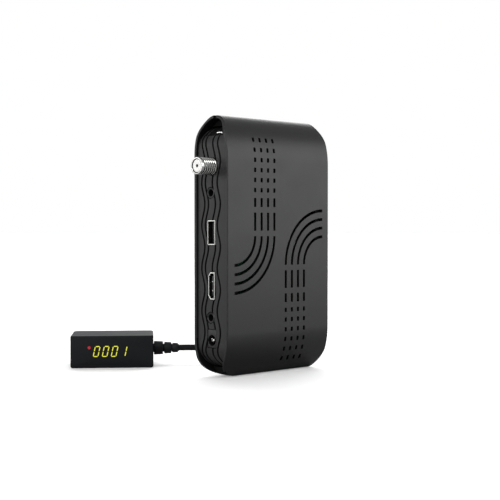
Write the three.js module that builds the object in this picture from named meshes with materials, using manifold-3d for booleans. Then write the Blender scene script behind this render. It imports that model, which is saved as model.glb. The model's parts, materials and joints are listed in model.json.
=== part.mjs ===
// A small satellite receiver standing on one arched end, with its wired display box behind it.
// Millimetres, +Z up. X runs from the connector side (-X) to the far side (+X), the vented face
// looks to -Y, and the origin is the middle of the flat that the receiver stands on.
import * as THREE from "three";
import { mergeVertices } from "three/addons/utils/BufferGeometryUtils.js";
import Module from "manifold-3d";

const wasm = await Module();
wasm.setup();

// Driving dimensions: sleeve
const sleeveHeight = 142.8;
const sleeveDepth = 80.4;
const sleeveThickness = 26.9;
const sleeveWall = 1.6;
const frontArch = 25; // how far the arched ends reach along the vented face
const rearArch = 21; // and along the back
const restCut = 0.4; // taken off the lower arch, so that it ends in a flat
const seamY = 0.8;
const seamGap = 0.3;
// The mouths' corners are trimmed by a curve: its reach along the mouth, its inset at the arch's
// crown, and the shares of these at which the curve's two handles lie
const cornerTrim = { reach: 13, inset: 4.2, reachShares: [0.54, 0.35], insetShare: 0.95 };
const footTrim = { reach: 12.5, inset: 16, reachShares: [0.3, 0.13], insetShare: 0.5 };

// Driving dimensions: vents in the front cover
const ventDrop = 2.3; // middle of the pattern below the middle of the sleeve
const ventPitch = 5;
const ventLines = 4;
const ventWidth = 1.2;
const ventEdge = 20.6; // mouth to the first line
const ventArcEnd = 5; // mouth to where the arcs end
const ventArcStart = 8.1; // above the middle of the pattern
const ventGap = 3;
const ventLong = 10;
const ventMedium = 5;
const ventShort = 2.5;
const ventShorts = 6;
const ventReach = 7.5; // depth of the cut, past the curved part of the wall

// Driving dimensions: end panels, which are shallow caps inside the sleeve's mouths
const panelRecess = 1.2;
const panelWall = 1.5;
const panelDepth = 8;
const stripFromFace = 5; // a snap strip on each long wall of the caps
const stripWidth = 1.2;
const stripLow = 11; // its ends, above the middle of the sleeve on the connector side
const stripHigh = 40;
const stripProud = 0.9;
const panelEnd = 5.4;
const panelCorner = 12;
const panelClear = 0.4;
const grooveRows = [7.35, 4.4, -1.15, -5.05];
const grooveWave = 23.3;
const grooveSwing = 1.25;
const grooveWidth = 0.9;
const grooveDepth = 0.8;
const grooveTurn = 72; // degrees round each panel corner
const grooveSteps = 6; // per wave

// Driving dimensions: main board and what stands on it
const boardFace = 4; // Y of the component side
const boardThickness = 1.6;
const boardClear = 0.4;
const fit = 0.3; // clearance between pieces that seat on each other
const overrun = 1; // how far a cutter passes the face that it cuts
const sliver = 0.004; // facets thinner than this are merged into their neighbours

// Driving dimensions: connectors, placed by shares of the panel's straight run from its lower end
const connectorShares = { aerial: 0.903, serial: 0.771, usb: 0.572, video: 0.3035, av: 0.144, power: 0.0305 };
const aerialY = 0.3;
const aerialRadius = 4.7;
const aerialLength = 11.2; // proud of the panel
const aerialNose = 0.6;
const aerialBore = 4;
const aerialBoreDepth = 8;
const aerialHole = 0.6;
const aerialContact = 1;
const aerialContactLength = 4;
const aerialThreadPitch = 0.8;
const aerialThreadDepth = 0.3;
const aerialSides = 16;
const jackY = 1.4;
const jackBore = 1.8;
const jackBoreDepth = 11;
const jackCollar = 2.9;
const jackLength = 13.4;
const jackWidth = 6;
const jackHeight = 4.6;
const usbWidth = 13.2;
const usbHeight = 6;
const usbWall = 0.4;
const usbDepth = 13.8;
const usbTongueHeight = 1.9;
const usbTongueRise = 0.6; // from the shell to the tongue
const usbTongueSetback = 0.6;
const usbTongueWidth = 11.2;
const videoWidth = 15;
const videoHeight = 5.6;
const videoWall = 0.5;
const videoDepth = 11.8;
const videoChamfer = 2.2;
const videoTongueHeight = 1.6;
const videoTongueDrop = 0.3; // off the middle of the shell
const videoTongueSetback = 0.8;
const videoTongueWidth = 11;
const shellProud = 0.3;
const powerPlateLow = 4;
const powerPlateHigh = 5.9;
const powerWidth = 6.5;
const powerDepth = 14;
const powerBore = 2.9;
const powerBoreDepth = 10;
const powerPin = 1;
const powerPinLength = 9;

// Driving dimensions: light bar in the panel's upper corner
const lightDegrees = 41.8; // round the corner from the panel's face
const lightY = -2.3;
const lightWidth = 3.9;
const lightHeight = 0.8;
const lightDepth = 3.2;

// Driving dimensions: screws, posts and feet
const coverScrewX = 26.5;
const coverScrewEnd = 12.4; // from the arches' crowns
const bossRadius = 3;
const bossTop = 5.7;
const tubeRadius = 3.8;
const tubeFace = 6;
const pilotRadius = 1.5;
const pilotDepth = 12;
const sinkRadius = 3;
const sinkFace = 8.9;
const screwShaft = 1.2;
const screwHead = 2.7;
const screwHeadHeight = 2;
const screwLength = 14;
const postRadius = 2.8;
const boardScrewHead = 2.5;
const boardScrewHeadHeight = 1.5;
const boardScrewShaft = 1.1;
const boardScrewLength = 4.5;
const boardScrewHole = 1.4;
const footX = 27;
const footEnd = 34.6; // from the arches' crowns
const footRadius = 4;
const footHeight = 1.5;
const footRecess = 0.5;
const rearSlots = 8;
const rearSlotPitch = 5;
const rearSlotLength = 28;
const rearSlotWidth = 2;

// Driving dimensions: parts on the board, as width, height and thickness, and their places as
// shares of the board's half width and of its height
const tunerWidth = 23;
const tunerAbove = 10; // past the aerial socket's axis
const tunerClear = 1.3; // from the serial jack
const tunerThickness = 10.2;
const processorSize = [23, 23, 1.6];
const memorySize = [11, 8, 1.2];
const flashSize = [6, 5, 1.5];
const inductorSize = [7, 7, 4];
const crystalSize = [4, 11, 3.5];
const capacitorRadius = 3.2;
const capacitorHeight = 7.5;
const sinkSize = 28;
const sinkHeight = 8;
const sinkBase = 1.6;
const finThickness = 1.2;
const finCount = 7;
const processorShares = [0.16, 0.46];
const memoryShares = [[0.11, 0.66], [0.46, 0.66]];
const flashShares = [0.73, 0.46];
const inductorShares = [-0.38, 0.13];
const crystalShares = [-0.38, 0.59];
const capacitorShares = [[-0.16, 0.06], [0.11, 0.17], [0.65, 0.15]];
const boardScrewShares = [[-0.65, 0.66], [-0.65, 0.25], [0.65, 0.25], [0.65, 0.75]];

// Driving dimensions: display box, in its own frame: x along its face, y away from the viewer
const displayPlace = [-51.8, 72.5];
const displayTurn = -39.4; // degrees
const displayWidth = 48.2;
const displayDepth = 34;
const displayHeight = 18.8;
const displayWall = 1.6;
const displayCorner = 3;
const displayEdge = 0.8;
const windowThickness = 2;
const windowInset = 0.3;
const windowCorner = 1.2;
const digitsLeft = 12; // from the box's left end
const digitsRight = 12.8; // from its right end
const digitsMargin = 3; // inside the walls above and below
const digitsLift = 0.2; // above the middle
const digitsDepth = 5;
const digitCount = 4;
const digitWellMargin = 1.1;
const digitWellDepth = 0.5;
const lampAlong = 10;
const lampLift = 2.3; // above the middle of the digits
const lampRadius = 1.5;
const lampLength = 4.6;
const lampTip = 0.35;
const sensorRight = 8.2; // from the box's right end
const sensorSize = 5;
const sensorDepth = 4;
const sensorLens = 1.8;
const sensorLensProud = 0.8;
const displayBoardThickness = 1.2;
const reliefY = 17;
const reliefLift = 0.4; // above the middle of the box
const reliefNeck = 2.6;
const reliefFlange = 3.8;
const reliefFlangeThickness = 1.2;
const reliefRibRadii = [4.1, 3.5, 2.9];
const reliefRibLengths = [5.6, 4.4, 3.3];
const reliefRibTaperShare = 0.94;
const reliefSlit = 0.6;

// Driving dimensions: the display's lead
const cordDiameter = 3.6;
const cordSides = 8;
const leadLevel = 7; // straight out of the strain relief
const leadFall = 39; // then down to the surface over this length
const leadLow = 5.6; // and along it to the coil
const leadStep = 3;
const coilTurnsIn = 4;
const coilBend = 0.08; // rounds the place where the spiral turns back, in turns
const coilTurnsOut = 4.25;
const coilMiddle = 20; // radius of the middle turn
const coilPitch = 4.15; // between turns and between layers
const coilSides = 6;
const coilSteps = 24;
const coilRise = 0.9; // the tie passes under the coil
const tieThickness = 0.6;
const tieWidth = 5;
const tieTurn = 200; // degrees round the coil from its start
const tailLength = 46;
const tailRadius = 38;
const tailSteps = 14;
const plugRadius = 3.6;
const plugLength = 16;
const plugNeck = 2.4;
const plugNeckLength = 5;
const plugPin = 1.75;
const plugPinLength = 14;
const plugTip = 0.9;
const plugSleeveShare = 0.45;
const plugRing = 0.6; // rings at the tip of the pin

// Derived sizes of the sleeve
const middleZ = (sleeveHeight - restCut) / 2;
const halfThickness = sleeveThickness / 2;
const halfDepth = sleeveDepth / 2;
const panelFace = halfDepth - panelRecess;
const panelLow = panelEnd - restCut;
const panelHigh = sleeveHeight - panelEnd;
const ventZ = middleZ - ventDrop;

// Places of the connectors along the panel
const panelRun = panelHigh - panelLow - 2 * panelCorner;
const alongPanel = (share) => panelLow + panelCorner + share * panelRun;
const aerialZ = alongPanel(connectorShares.aerial);
const serialZ = alongPanel(connectorShares.serial);
const usbZ = alongPanel(connectorShares.usb);
const videoZ = alongPanel(connectorShares.video);
const avZ = alongPanel(connectorShares.av);
const powerZ = alongPanel(connectorShares.power);

// Places on the board
const boardBack = boardFace + boardThickness;
const boardInset = panelWall + boardClear;
const boardHalf = panelFace - boardInset;
const boardLow = panelLow + boardInset;
const boardLength = panelHigh - panelLow - 2 * boardInset;
const onBoardAt = ([across, along]) => [across * boardHalf, boardLow + along * boardLength];
const boardScrewPlaces = boardScrewShares.map(onBoardAt);

// Places in the display box
const digitsZ = displayHeight / 2 + digitsLift;
const digitsWidth = displayWidth - digitsLeft - digitsRight;
const digitsHeight = displayHeight - 2 * (displayWall + digitsMargin);
const lampZ = digitsZ + lampLift;
const reliefZ = displayHeight / 2 + reliefLift;

// Finishes
const finish = (color, roughness, metalness = 0) =>
  new THREE.MeshStandardMaterial({ color, roughness, metalness });
const shellPlastic = finish(0x303032, 0.55);
const panelPlastic = finish(0x2c2c2e, 0.6);
const blackPlastic = finish(0x101011, 0.5);
const nickel = finish(0xd2d3d0, 0.25, 1);
const steel = finish(0xb9bbbd, 0.35, 1);
const brass = finish(0xcaa45a, 0.35, 1);
const whitePlastic = finish(0xf2f1ec, 0.4);
const boardGreen = finish(0x1f4b32, 0.5);
const chipBlack = finish(0x18181a, 0.45);
const aluminium = finish(0xa9acb0, 0.4, 1);
const rubber = finish(0x1a1a1a, 0.85);
const clearLight = finish(0xf5f7fa, 0.2);
const displayPlastic = finish(0x24272a, 0.35);
const smokedWindow = finish(0x0d0f11, 0.08);
const digitGrey = finish(0x2a2b26, 0.4);
const lampRed = finish(0xc0202c, 0.25);
const cordJacket = finish(0x15181a, 0.45);

const radians = THREE.MathUtils.degToRad;
const alongX = new THREE.Matrix4().makeBasis(
  new THREE.Vector3(0, 1, 0), new THREE.Vector3(0, 0, 1), new THREE.Vector3(1, 0, 0));
const alongY = new THREE.Matrix4().makeBasis(
  new THREE.Vector3(1, 0, 0), new THREE.Vector3(0, 0, 1), new THREE.Vector3(0, -1, 0));

// A closed geometry as a solid that can be joined and cut
function solidOf(geometry) {
  const bare = geometry.clone();
  for (const name of Object.keys(bare.attributes)) if (name !== "position") bare.deleteAttribute(name);
  const merged = mergeVertices(bare, 1e-4);
  return new wasm.Manifold(new wasm.Mesh({
    numProp: 3,
    vertProperties: new Float32Array(merged.attributes.position.array),
    triVerts: new Uint32Array(merged.index.array),
  }));
}

function geometryOf(solid) {
  const mesh = solid.simplify(sliver).getMesh();
  const geometry = new THREE.BufferGeometry();
  geometry.setAttribute("position", new THREE.BufferAttribute(new Float32Array(mesh.vertProperties), 3));
  geometry.setIndex(new THREE.BufferAttribute(new Uint32Array(mesh.triVerts), 1));
  geometry.computeVertexNormals();
  return geometry;
}

const join = (solids) => solids.reduce((whole, next) => whole.add(next));
const cut = (solid, cutters) => solid.subtract(join(cutters));

// The largest body of a solid, without the slivers that grooves leave beside the sockets
const mainBody = (solid) => solid.decompose().reduce((a, b) => (a.volume() > b.volume() ? a : b));

function shapeOf(points) {
  return new THREE.Shape(points.map(([u, v]) => new THREE.Vector2(u, v)));
}

// Prisms: a shape in (Y, Z) carried along X, in (X, Z) along Y, and in (X, Y) along Z
function prismX(shape, from, to, curveSegments = 6) {
  const geometry = new THREE.ExtrudeGeometry(shape, { depth: to - from, bevelEnabled: false, curveSegments });
  return solidOf(geometry.applyMatrix4(alongX).translate(from, 0, 0));
}

function prismY(shape, from, to, curveSegments = 6) {
  const geometry = new THREE.ExtrudeGeometry(shape, { depth: to - from, bevelEnabled: false, curveSegments });
  return solidOf(geometry.applyMatrix4(alongY).translate(0, to, 0));
}

function box(from, to) {
  const size = to.map((value, k) => value - from[k]);
  const geometry = new THREE.BoxGeometry(...size);
  return solidOf(geometry.translate(...from.map((value, k) => value + size[k] / 2)));
}

// Round bars along X and Y
function barX(radius, from, to, y, z, sides = 20) {
  const geometry = new THREE.CylinderGeometry(radius, radius, to - from, sides);
  return solidOf(geometry.rotateZ(Math.PI / 2).translate((from + to) / 2, y, z));
}

function barY(radius, from, to, x, z, sides = 20) {
  const geometry = new THREE.CylinderGeometry(radius, radius, to - from, sides);
  return solidOf(geometry.translate(x, (from + to) / 2, z));
}

// A profile of [distance along the axis, radius] turned about a line along X or Y
function turned(profile, sides) {
  const geometry = new THREE.LatheGeometry(profile.map(([a, r]) => new THREE.Vector2(r, a)), sides);
  return solidOf(geometry);
}

function turnedX(profile, y, z, sides = 20) {
  return turned(profile, sides).rotate([0, 0, -90]).translate([0, y, z]);
}

function turnedY(profile, x, z, sides = 16) {
  return turned(profile, sides).translate([x, 0, z]);
}

function rounded(left, bottom, right, top, radius) {
  const shape = new THREE.Shape();
  shape.moveTo(left + radius, bottom);
  shape.lineTo(right - radius, bottom);
  shape.absarc(right - radius, bottom + radius, radius, -Math.PI / 2, 0);
  shape.lineTo(right, top - radius);
  shape.absarc(right - radius, top - radius, radius, 0, Math.PI / 2);
  shape.lineTo(left + radius, top);
  shape.absarc(left + radius, top - radius, radius, Math.PI / 2, Math.PI);
  shape.lineTo(left, bottom + radius);
  shape.absarc(left + radius, bottom + radius, radius, Math.PI, Math.PI * 1.5);
  return shape;
}

// Section of the sleeve on one side (-1 front, 1 rear), inset from its outer face, as points from
// the lower seam to the upper one: a flat face between two quarter ellipses
const archSteps = 8;
function sectionSide(side, inset, seam) {
  const reach = (side < 0 ? frontArch : rearArch) - inset;
  const half = halfThickness - inset;
  const lowCentre = reach + inset - restCut;
  const highCentre = sleeveHeight - reach - inset;
  const seamAngle = Math.asin(seam / half);
  const restAngle = lowCentre < reach ? Math.acos(lowCentre / reach) : seamAngle;
  const points = lowCentre < reach ? [[side * seam, 0]] : [];
  for (let i = 0; i <= archSteps; i++) {
    const angle = restAngle + (Math.PI / 2 - restAngle) * (i / archSteps);
    points.push([side * half * Math.sin(angle), lowCentre - reach * Math.cos(angle)]);
  }
  for (let i = archSteps; i >= 0; i--) {
    const angle = seamAngle + (Math.PI / 2 - seamAngle) * (i / archSteps);
    points.push([side * half * Math.sin(angle), highCentre + reach * Math.cos(angle)]);
  }
  return points;
}

// The whole section as one outline, for what fits inside the sleeve
function sectionShape(inset) {
  const front = sectionSide(-1, inset, 0);
  const rear = sectionSide(1, inset, 0);
  return shapeOf([...front.slice(1), ...rear.slice(0, -1).reverse()]);
}

// The sleeve seen on its vented face: the mouths' corners are trimmed by a curve
function planShape() {
  const shape = new THREE.Shape();
  const corner = (sx, up) => {
    const { reach, inset, reachShares, insetShare } = sx < 0 && !up ? footTrim : cornerTrim;
    const at = (along, from) => [
      sx * (halfDepth - along),
      up ? sleeveHeight - from : from - restCut,
    ];
    return [at(0, reach), at(0, reach * reachShares[0]), at(inset * insetShare, reach * reachShares[1]),
      at(inset, 0), at(inset, -overrun)];
  };
  const inward = ([start, a, b, end, over]) => {
    shape.lineTo(...start);
    shape.bezierCurveTo(...a, ...b, ...end);
    shape.lineTo(...over);
  };
  const outward = ([start, a, b, end, over]) => {
    shape.lineTo(...over);
    shape.lineTo(...end);
    shape.bezierCurveTo(...b, ...a, ...start);
  };
  shape.moveTo(-halfDepth, middleZ);
  inward(corner(-1, true));
  outward(corner(1, true));
  inward(corner(1, false));
  outward(corner(-1, false));
  return shape;
}

function coverShell(side) {
  const seam = side < 0 ? seamY - seamGap / 2 : -(seamY + seamGap / 2);
  const past = (points) => side < 0
    ? [[seam, points[0][1]], ...points, [seam, points.at(-1)[1]]]
    : points;
  const outer = past(sectionSide(side, 0, side < 0 ? 0.01 : -seam));
  const inner = past(sectionSide(side, sleeveWall, side < 0 ? 0.01 : -seam));
  const ring = shapeOf([...outer, ...inner.reverse()]);
  const plan = prismY(planShape(), -sleeveThickness, sleeveThickness);
  return prismX(ring, -halfDepth, halfDepth).intersect(plan);
}

// One vent slot: a bar with round ends across the front wall
function ventSlot(x, low, high) {
  const shape = rounded(x - ventWidth / 2, low, x + ventWidth / 2, high, ventWidth * 0.3);
  return prismY(shape, -halfThickness - overrun, -halfThickness + ventReach, 1);
}

// One vent arc: a quarter ring that turns the line from upright to level
function ventArc(centre, radius, start) {
  const shape = new THREE.Shape();
  shape.absarc(...centre, radius + ventWidth / 2, start, start + Math.PI / 2, false);
  shape.absarc(...centre, radius - ventWidth / 2, start + Math.PI / 2, start, true);
  return prismY(shape, -halfThickness - overrun, -halfThickness + ventReach, 6);
}

// Two groups of lines, the second the first turned half round about the middle of the pattern
function ventCutters() {
  const cutters = [];
  for (const turn of [1, -1]) {
    const place = (x, z) => [turn * x, ventZ + turn * z];
    const slot = (x, low, high) => {
      const [px, a] = place(x, low);
      const [, b] = place(x, high);
      cutters.push(ventSlot(px, Math.min(a, b), Math.max(a, b)));
    };
    for (let line = 0; line < ventLines; line++) {
      const x = -halfDepth + ventEdge + line * ventPitch;
      const arcX = -halfDepth + ventArcEnd;
      cutters.push(ventArc(place(arcX, ventArcStart), x - arcX, turn > 0 ? -Math.PI / 2 : Math.PI / 2));
      let low = ventArcStart + ventGap;
      const run = [ventLong, ventMedium, ...Array(ventShorts).fill(ventShort)];
      for (const length of run) {
        slot(x, low, low + length);
        low += length + ventGap;
      }
    }
  }
  return cutters;
}

const screwPlaces = [[-1, -1], [1, -1], [-1, 1], [1, 1]].map(
  ([sx, sz]) => [sx * coverScrewX, middleZ + sz * (sleeveHeight + restCut - 2 * coverScrewEnd) / 2]);

// Keeps a boss inside the sleeve's outer face where the wall curves away
const withinSection = () => prismX(sectionShape(sleeveWall / 2), -halfDepth, halfDepth);

function frontCover() {
  const bosses = screwPlaces.map(([x, z]) =>
    barY(bossRadius, -halfThickness, bossTop, x, z, 12).intersect(withinSection()));
  const pilots = screwPlaces.map(([x, z]) =>
    barY(pilotRadius, bossTop - pilotDepth, bossTop + overrun, x, z, 10));
  const pockets = [-1, 1].map((end) => stripBlocks(end, fit)[0]);
  return cut(join([coverShell(-1), ...bosses]), [...pilots, ...pockets, ...ventCutters()]);
}

function rearCover() {
  const tubes = screwPlaces.map(([x, z]) => barY(tubeRadius, tubeFace, halfThickness, x, z, 16));
  const posts = boardScrewPlaces.map(([x, z]) => barY(postRadius, boardBack + fit, halfThickness, x, z, 12));
  const carried = join([...tubes, ...posts]).intersect(withinSection());
  const sinks = screwPlaces.map(([x, z]) => barY(sinkRadius, sinkFace, halfThickness + overrun, x, z, 16));
  const holes = screwPlaces.map(([x, z]) => barY(pilotRadius, tubeFace - overrun, halfThickness, x, z, 10));
  const pilots = boardScrewPlaces.map(([x, z]) =>
    barY(boardScrewHole, boardBack, boardBack + fit + boardScrewLength, x, z, 10));
  const recesses = footPlaces.map(([x, z]) =>
    barY(footRadius + fit, halfThickness - footRecess, halfThickness + overrun, x, z, 20));
  const slots = Array.from({ length: rearSlots }, (_, k) => {
    const z = middleZ + (k - (rearSlots - 1) / 2) * rearSlotPitch;
    const shape = rounded(-rearSlotLength / 2, z - rearSlotWidth / 2, rearSlotLength / 2,
      z + rearSlotWidth / 2, rearSlotWidth * 0.45);
    return prismY(shape, halfThickness - sleeveWall - overrun, halfThickness + overrun, 1);
  });
  const pockets = [-1, 1].map((end) => stripBlocks(end, fit)[1]);
  return cut(join([coverShell(1), carried]),
    [...sinks, ...holes, ...pilots, ...recesses, ...slots, ...pockets]);
}

const footPlaces = [[-1, -1], [1, -1], [-1, 1], [1, 1]].map(
  ([sx, sz]) => [sx * footX, middleZ + sz * (sleeveHeight + restCut - 2 * footEnd) / 2]);

// Plan outline of the end panels' inner body, inset from its own faces
function bodyPlan(inset) {
  const x = panelFace - inset;
  return rounded(-x, panelLow + inset, x, panelHigh - inset, panelCorner - inset);
}

// Snap strips along a cap's long walls, and with a clearance the pockets that they sit in
function stripBlocks(side, clearance) {
  const x = side * (panelFace - stripFromFace);
  const [low, high] = side < 0 ? [stripLow, stripHigh] : [-stripHigh, -stripLow];
  const wall = halfThickness - sleeveWall - panelClear;
  return [-1, 1].map((face) => {
    const reach = [wall - overrun, wall + stripProud + clearance].map((y) => face * y).sort((a, b) => a - b);
    return box([x - stripWidth / 2 - clearance, reach[0], middleZ + low - clearance],
      [x + stripWidth / 2 + clearance, reach[1], middleZ + high + clearance]);
  });
}

// A shallow cap that closes one mouth of the sleeve
function panelCap(side) {
  const section = sleeveWall + panelClear;
  const rim = panelFace - panelDepth;
  const span = (from, to) => side < 0 ? [-to, -from] : [from, to];
  const outer = prismX(sectionShape(section), ...span(rim, panelFace + overrun))
    .intersect(prismY(bodyPlan(0), -sleeveThickness, sleeveThickness));
  const inner = prismX(sectionShape(section + panelWall), ...span(rim - overrun, panelFace))
    .intersect(prismY(bodyPlan(panelWall), -sleeveThickness, sleeveThickness));
  return join([outer.subtract(inner), ...stripBlocks(side, 0)]);
}

// A wavy groove: a ribbon that follows the cap's outer face along its flat and round its corners.
// At distance s from the middle, the ribbon lies at row - swing * cos(2 pi s / wave).
function grooveCutter(side, row) {
  const straight = panelRun / 2;
  const reach = straight + panelCorner * radians(grooveTurn);
  const count = Math.round((2 * reach * grooveSteps) / grooveWave);
  const corners = [];
  for (let i = 0; i <= count; i++) {
    const s = -reach + (2 * reach * i) / count;
    const turn = Math.max(0, Math.abs(s) - straight) / panelCorner;
    const up = Math.sign(s);
    const y = row - grooveSwing * Math.cos((2 * Math.PI * s) / grooveWave);
    for (const [depthwise, across] of [[-1, -1], [-1, 1], [1, 1], [1, -1]]) {
      const radius = panelCorner + depthwise * grooveDepth;
      const x = panelFace - panelCorner + radius * Math.cos(turn);
      const z = middleZ + (turn ? up * (straight + radius * Math.sin(turn)) : s);
      corners.push(side * x, y + (side * across * grooveWidth) / 2, z);
    }
  }
  const faces = [[0, 1, 2], [0, 2, 3]];
  for (let i = 0; i < count; i++)
    for (let k = 0; k < 4; k++) {
      const [a, b] = [i * 4 + k, i * 4 + ((k + 1) % 4)];
      faces.push([a, a + 4, b + 4], [a, b + 4, b]);
    }
  const last = count * 4;
  faces.push([last, last + 2, last + 1], [last, last + 3, last + 2]);
  const solid = new wasm.Manifold(new wasm.Mesh({
    numProp: 3, vertProperties: new Float32Array(corners), triVerts: new Uint32Array(faces.flat()) }));
  return solid;
}

const grooveCutters = (side) => grooveRows.map((row) => grooveCutter(side, row));

// The video socket's outline in (Y, Z): its corners on the board side are cut off
const videoY = boardFace - fit - 0.1 - videoHeight / 2;
function videoShape(inset) {
  const [half, high] = [videoWidth / 2 - inset, videoHeight / 2 - inset];
  const chamfer = videoChamfer - inset * 0.4;
  return shapeOf([
    [videoY - high, videoZ - half], [videoY - high, videoZ + half],
    [videoY + high - chamfer * 0.8, videoZ + half], [videoY + high, videoZ + half - chamfer],
    [videoY + high, videoZ - half + chamfer], [videoY + high - chamfer * 0.8, videoZ - half],
  ]);
}

const usbY = boardFace - fit - 0.1 - usbHeight / 2;
const powerY = boardFace - fit - powerWidth / 2;

// Angle round the panel's upper corner at which the light bar lies
const lightTurn = radians(lightDegrees);
function lightBlock(width, height, depth) {
  const block = new THREE.BoxGeometry(depth, width, height).rotateY(lightTurn);
  const radius = panelCorner - panelWall / 2;
  return solidOf(block.translate(
    -(panelFace - panelCorner + radius * Math.cos(lightTurn)), lightY,
    panelHigh - panelCorner + radius * Math.sin(lightTurn)));
}

function connectorPanel() {
  const [from, to] = [-panelFace - overrun, -panelFace + panelWall + overrun];
  const holes = [
    barX(aerialRadius + fit, from, to, aerialY, aerialZ, aerialSides),
    barX(jackCollar + fit, from, to, jackY, serialZ),
    barX(jackCollar + fit, from, to, jackY, avZ),
    box([from, usbY - usbHeight / 2 - fit, usbZ - usbWidth / 2 - fit],
      [to, usbY + usbHeight / 2 + fit, usbZ + usbWidth / 2 + fit]),
    prismX(videoShape(-fit), from, to),
    box([from, powerY - powerWidth / 2 - fit, powerZ - powerPlateLow - fit],
      [to, powerY + powerWidth / 2 + fit, powerZ + powerPlateHigh + fit]),
    lightBlock(lightWidth + 2 * fit, lightHeight + 2 * fit, lightDepth + overrun),
  ];
  return mainBody(cut(panelCap(-1), [...grooveCutters(-1), ...holes]));
}

function mainBoard() {
  const blank = prismY(bodyPlan(boardInset), boardFace, boardBack);
  const passes = screwPlaces.map(([x, z]) =>
    barY(bossRadius + fit, boardFace - overrun, boardBack + overrun, x, z, 12));
  const holes = boardScrewPlaces.map(([x, z]) =>
    barY(boardScrewHole, boardFace - overrun, boardBack + overrun, x, z, 10));
  return cut(blank, [...passes, ...holes]);
}

// A block that stands on the board, given in X and Z with its height
const onBoard = (x0, z0, x1, z1, height) =>
  box([x0, boardFace - fit - height, z0], [x1, boardFace - fit, z1]);

function jack(z) {
  const start = -panelFace;
  const back = start + jackLength;
  const bodyFace = -panelFace + panelWall + 0.1;
  const bottom = boardFace - fit;
  const body = box([bodyFace, bottom - jackHeight, z - jackWidth / 2], [back, bottom, z + jackWidth / 2]);
  const above = box([start - overrun, bottom - sleeveThickness, z - jackWidth],
    [back, bottom + fit, z + jackWidth]);
  const collar = barX(jackCollar, start, bodyFace + fit, jackY, z).intersect(above);
  return join([body, collar]).subtract(barX(jackBore, start - overrun, start + jackBoreDepth, jackY, z, 16));
}

function socketShell(outer, inner, depth) {
  const front = -panelFace - shellProud;
  const inside = prismX(inner, front - overrun, front + depth - overrun);
  return prismX(outer, front, front + depth).subtract(inside);
}

const rectangle = (y, z, height, width) => shapeOf([
  [y - height / 2, z - width / 2], [y + height / 2, z - width / 2],
  [y + height / 2, z + width / 2], [y - height / 2, z + width / 2]]);

function heatSink([x, z]) {
  const foot = boardFace - 2 * fit - processorSize[2];
  const half = sinkSize / 2;
  const plate = box([x - half, foot - sinkBase, z - half], [x + half, foot, z + half]);
  const step = (sinkSize - finThickness) / (finCount - 1);
  const blades = Array.from({ length: finCount }, (_, k) => {
    const start = x - half + k * step;
    return box([start, foot - sinkHeight, z - half], [start + finThickness, foot - sinkBase / 2, z + half]);
  });
  return join([plate, ...blades]);
}

// Screws lie along Y: head towards +Y in the covers, towards -Y on the board
const coverScrew = ([x, z]) => turnedY([
  [sinkFace + fit - screwLength, 0], [sinkFace + fit - screwLength, screwShaft],
  [sinkFace + fit, screwShaft], [sinkFace + fit, screwHead],
  [sinkFace + fit + screwHeadHeight, screwHead], [sinkFace + fit + screwHeadHeight, 0]], x, z, 12);
const boardScrew = ([x, z]) => turnedY([
  [boardFace - fit - boardScrewHeadHeight, 0], [boardFace - fit - boardScrewHeadHeight, boardScrewHead],
  [boardFace - fit, boardScrewHead], [boardFace - fit, boardScrewShaft],
  [boardFace - fit + boardScrewLength, boardScrewShaft], [boardFace - fit + boardScrewLength, 0]], x, z, 12);

const root = new THREE.Group();
function add(parent, name, solid, material) {
  const mesh = new THREE.Mesh(geometryOf(solid), material);
  mesh.name = name;
  parent.add(mesh);
}

// Receiver: housing
add(root, "front_cover", frontCover(), shellPlastic);
add(root, "rear_cover", rearCover(), shellPlastic);
add(root, "connector_panel", connectorPanel(), panelPlastic);
add(root, "far_side_panel", cut(panelCap(1), grooveCutters(1)), panelPlastic);
footPlaces.forEach(([x, z], k) => add(root, "foot_" + (k + 1), turnedY([
  [halfThickness - footRecess + fit, 0], [halfThickness - footRecess + fit, footRadius],
  [halfThickness - footRecess + footHeight, footRadius * 0.9],
  [halfThickness - footRecess + footHeight, 0]], x, z, 20), rubber));
screwPlaces.forEach((place, k) => add(root, "cover_screw_" + (k + 1), coverScrew(place), steel));

// Receiver: board
add(root, "main_board", mainBoard(), boardGreen);
boardScrewPlaces.forEach((place, k) => add(root, "board_screw_" + (k + 1), boardScrew(place), steel));
const tunerFront = -panelFace + panelWall + boardClear;
const block = (name, [x, z], [wide, tall, thick], material) =>
  add(root, name, onBoard(x - wide / 2, z - tall / 2, x + wide / 2, z + tall / 2, thick), material);
add(root, "tuner_can", onBoard(tunerFront, serialZ + jackWidth / 2 + tunerClear,
  tunerFront + tunerWidth, aerialZ + tunerAbove, tunerThickness), steel);
block("processor", onBoardAt(processorShares), processorSize, chipBlack);
add(root, "heat_sink", heatSink(onBoardAt(processorShares)), aluminium);
memoryShares.forEach((share, k) => block("memory_chip_" + (k + 1), onBoardAt(share), memorySize, chipBlack));
block("flash_chip", onBoardAt(flashShares), flashSize, chipBlack);
block("power_inductor", onBoardAt(inductorShares), inductorSize, chipBlack);
block("crystal", onBoardAt(crystalShares), crystalSize, steel);
capacitorShares.forEach((share, k) => add(root, "capacitor_" + (k + 1), turnedY([
  [boardFace - fit - capacitorHeight, 0], [boardFace - fit - capacitorHeight, capacitorRadius * 0.92],
  [boardFace - fit - capacitorHeight * 0.95, capacitorRadius], [boardFace - fit, capacitorRadius],
  [boardFace - fit, 0]], ...onBoardAt(share), 14), aluminium));

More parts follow.
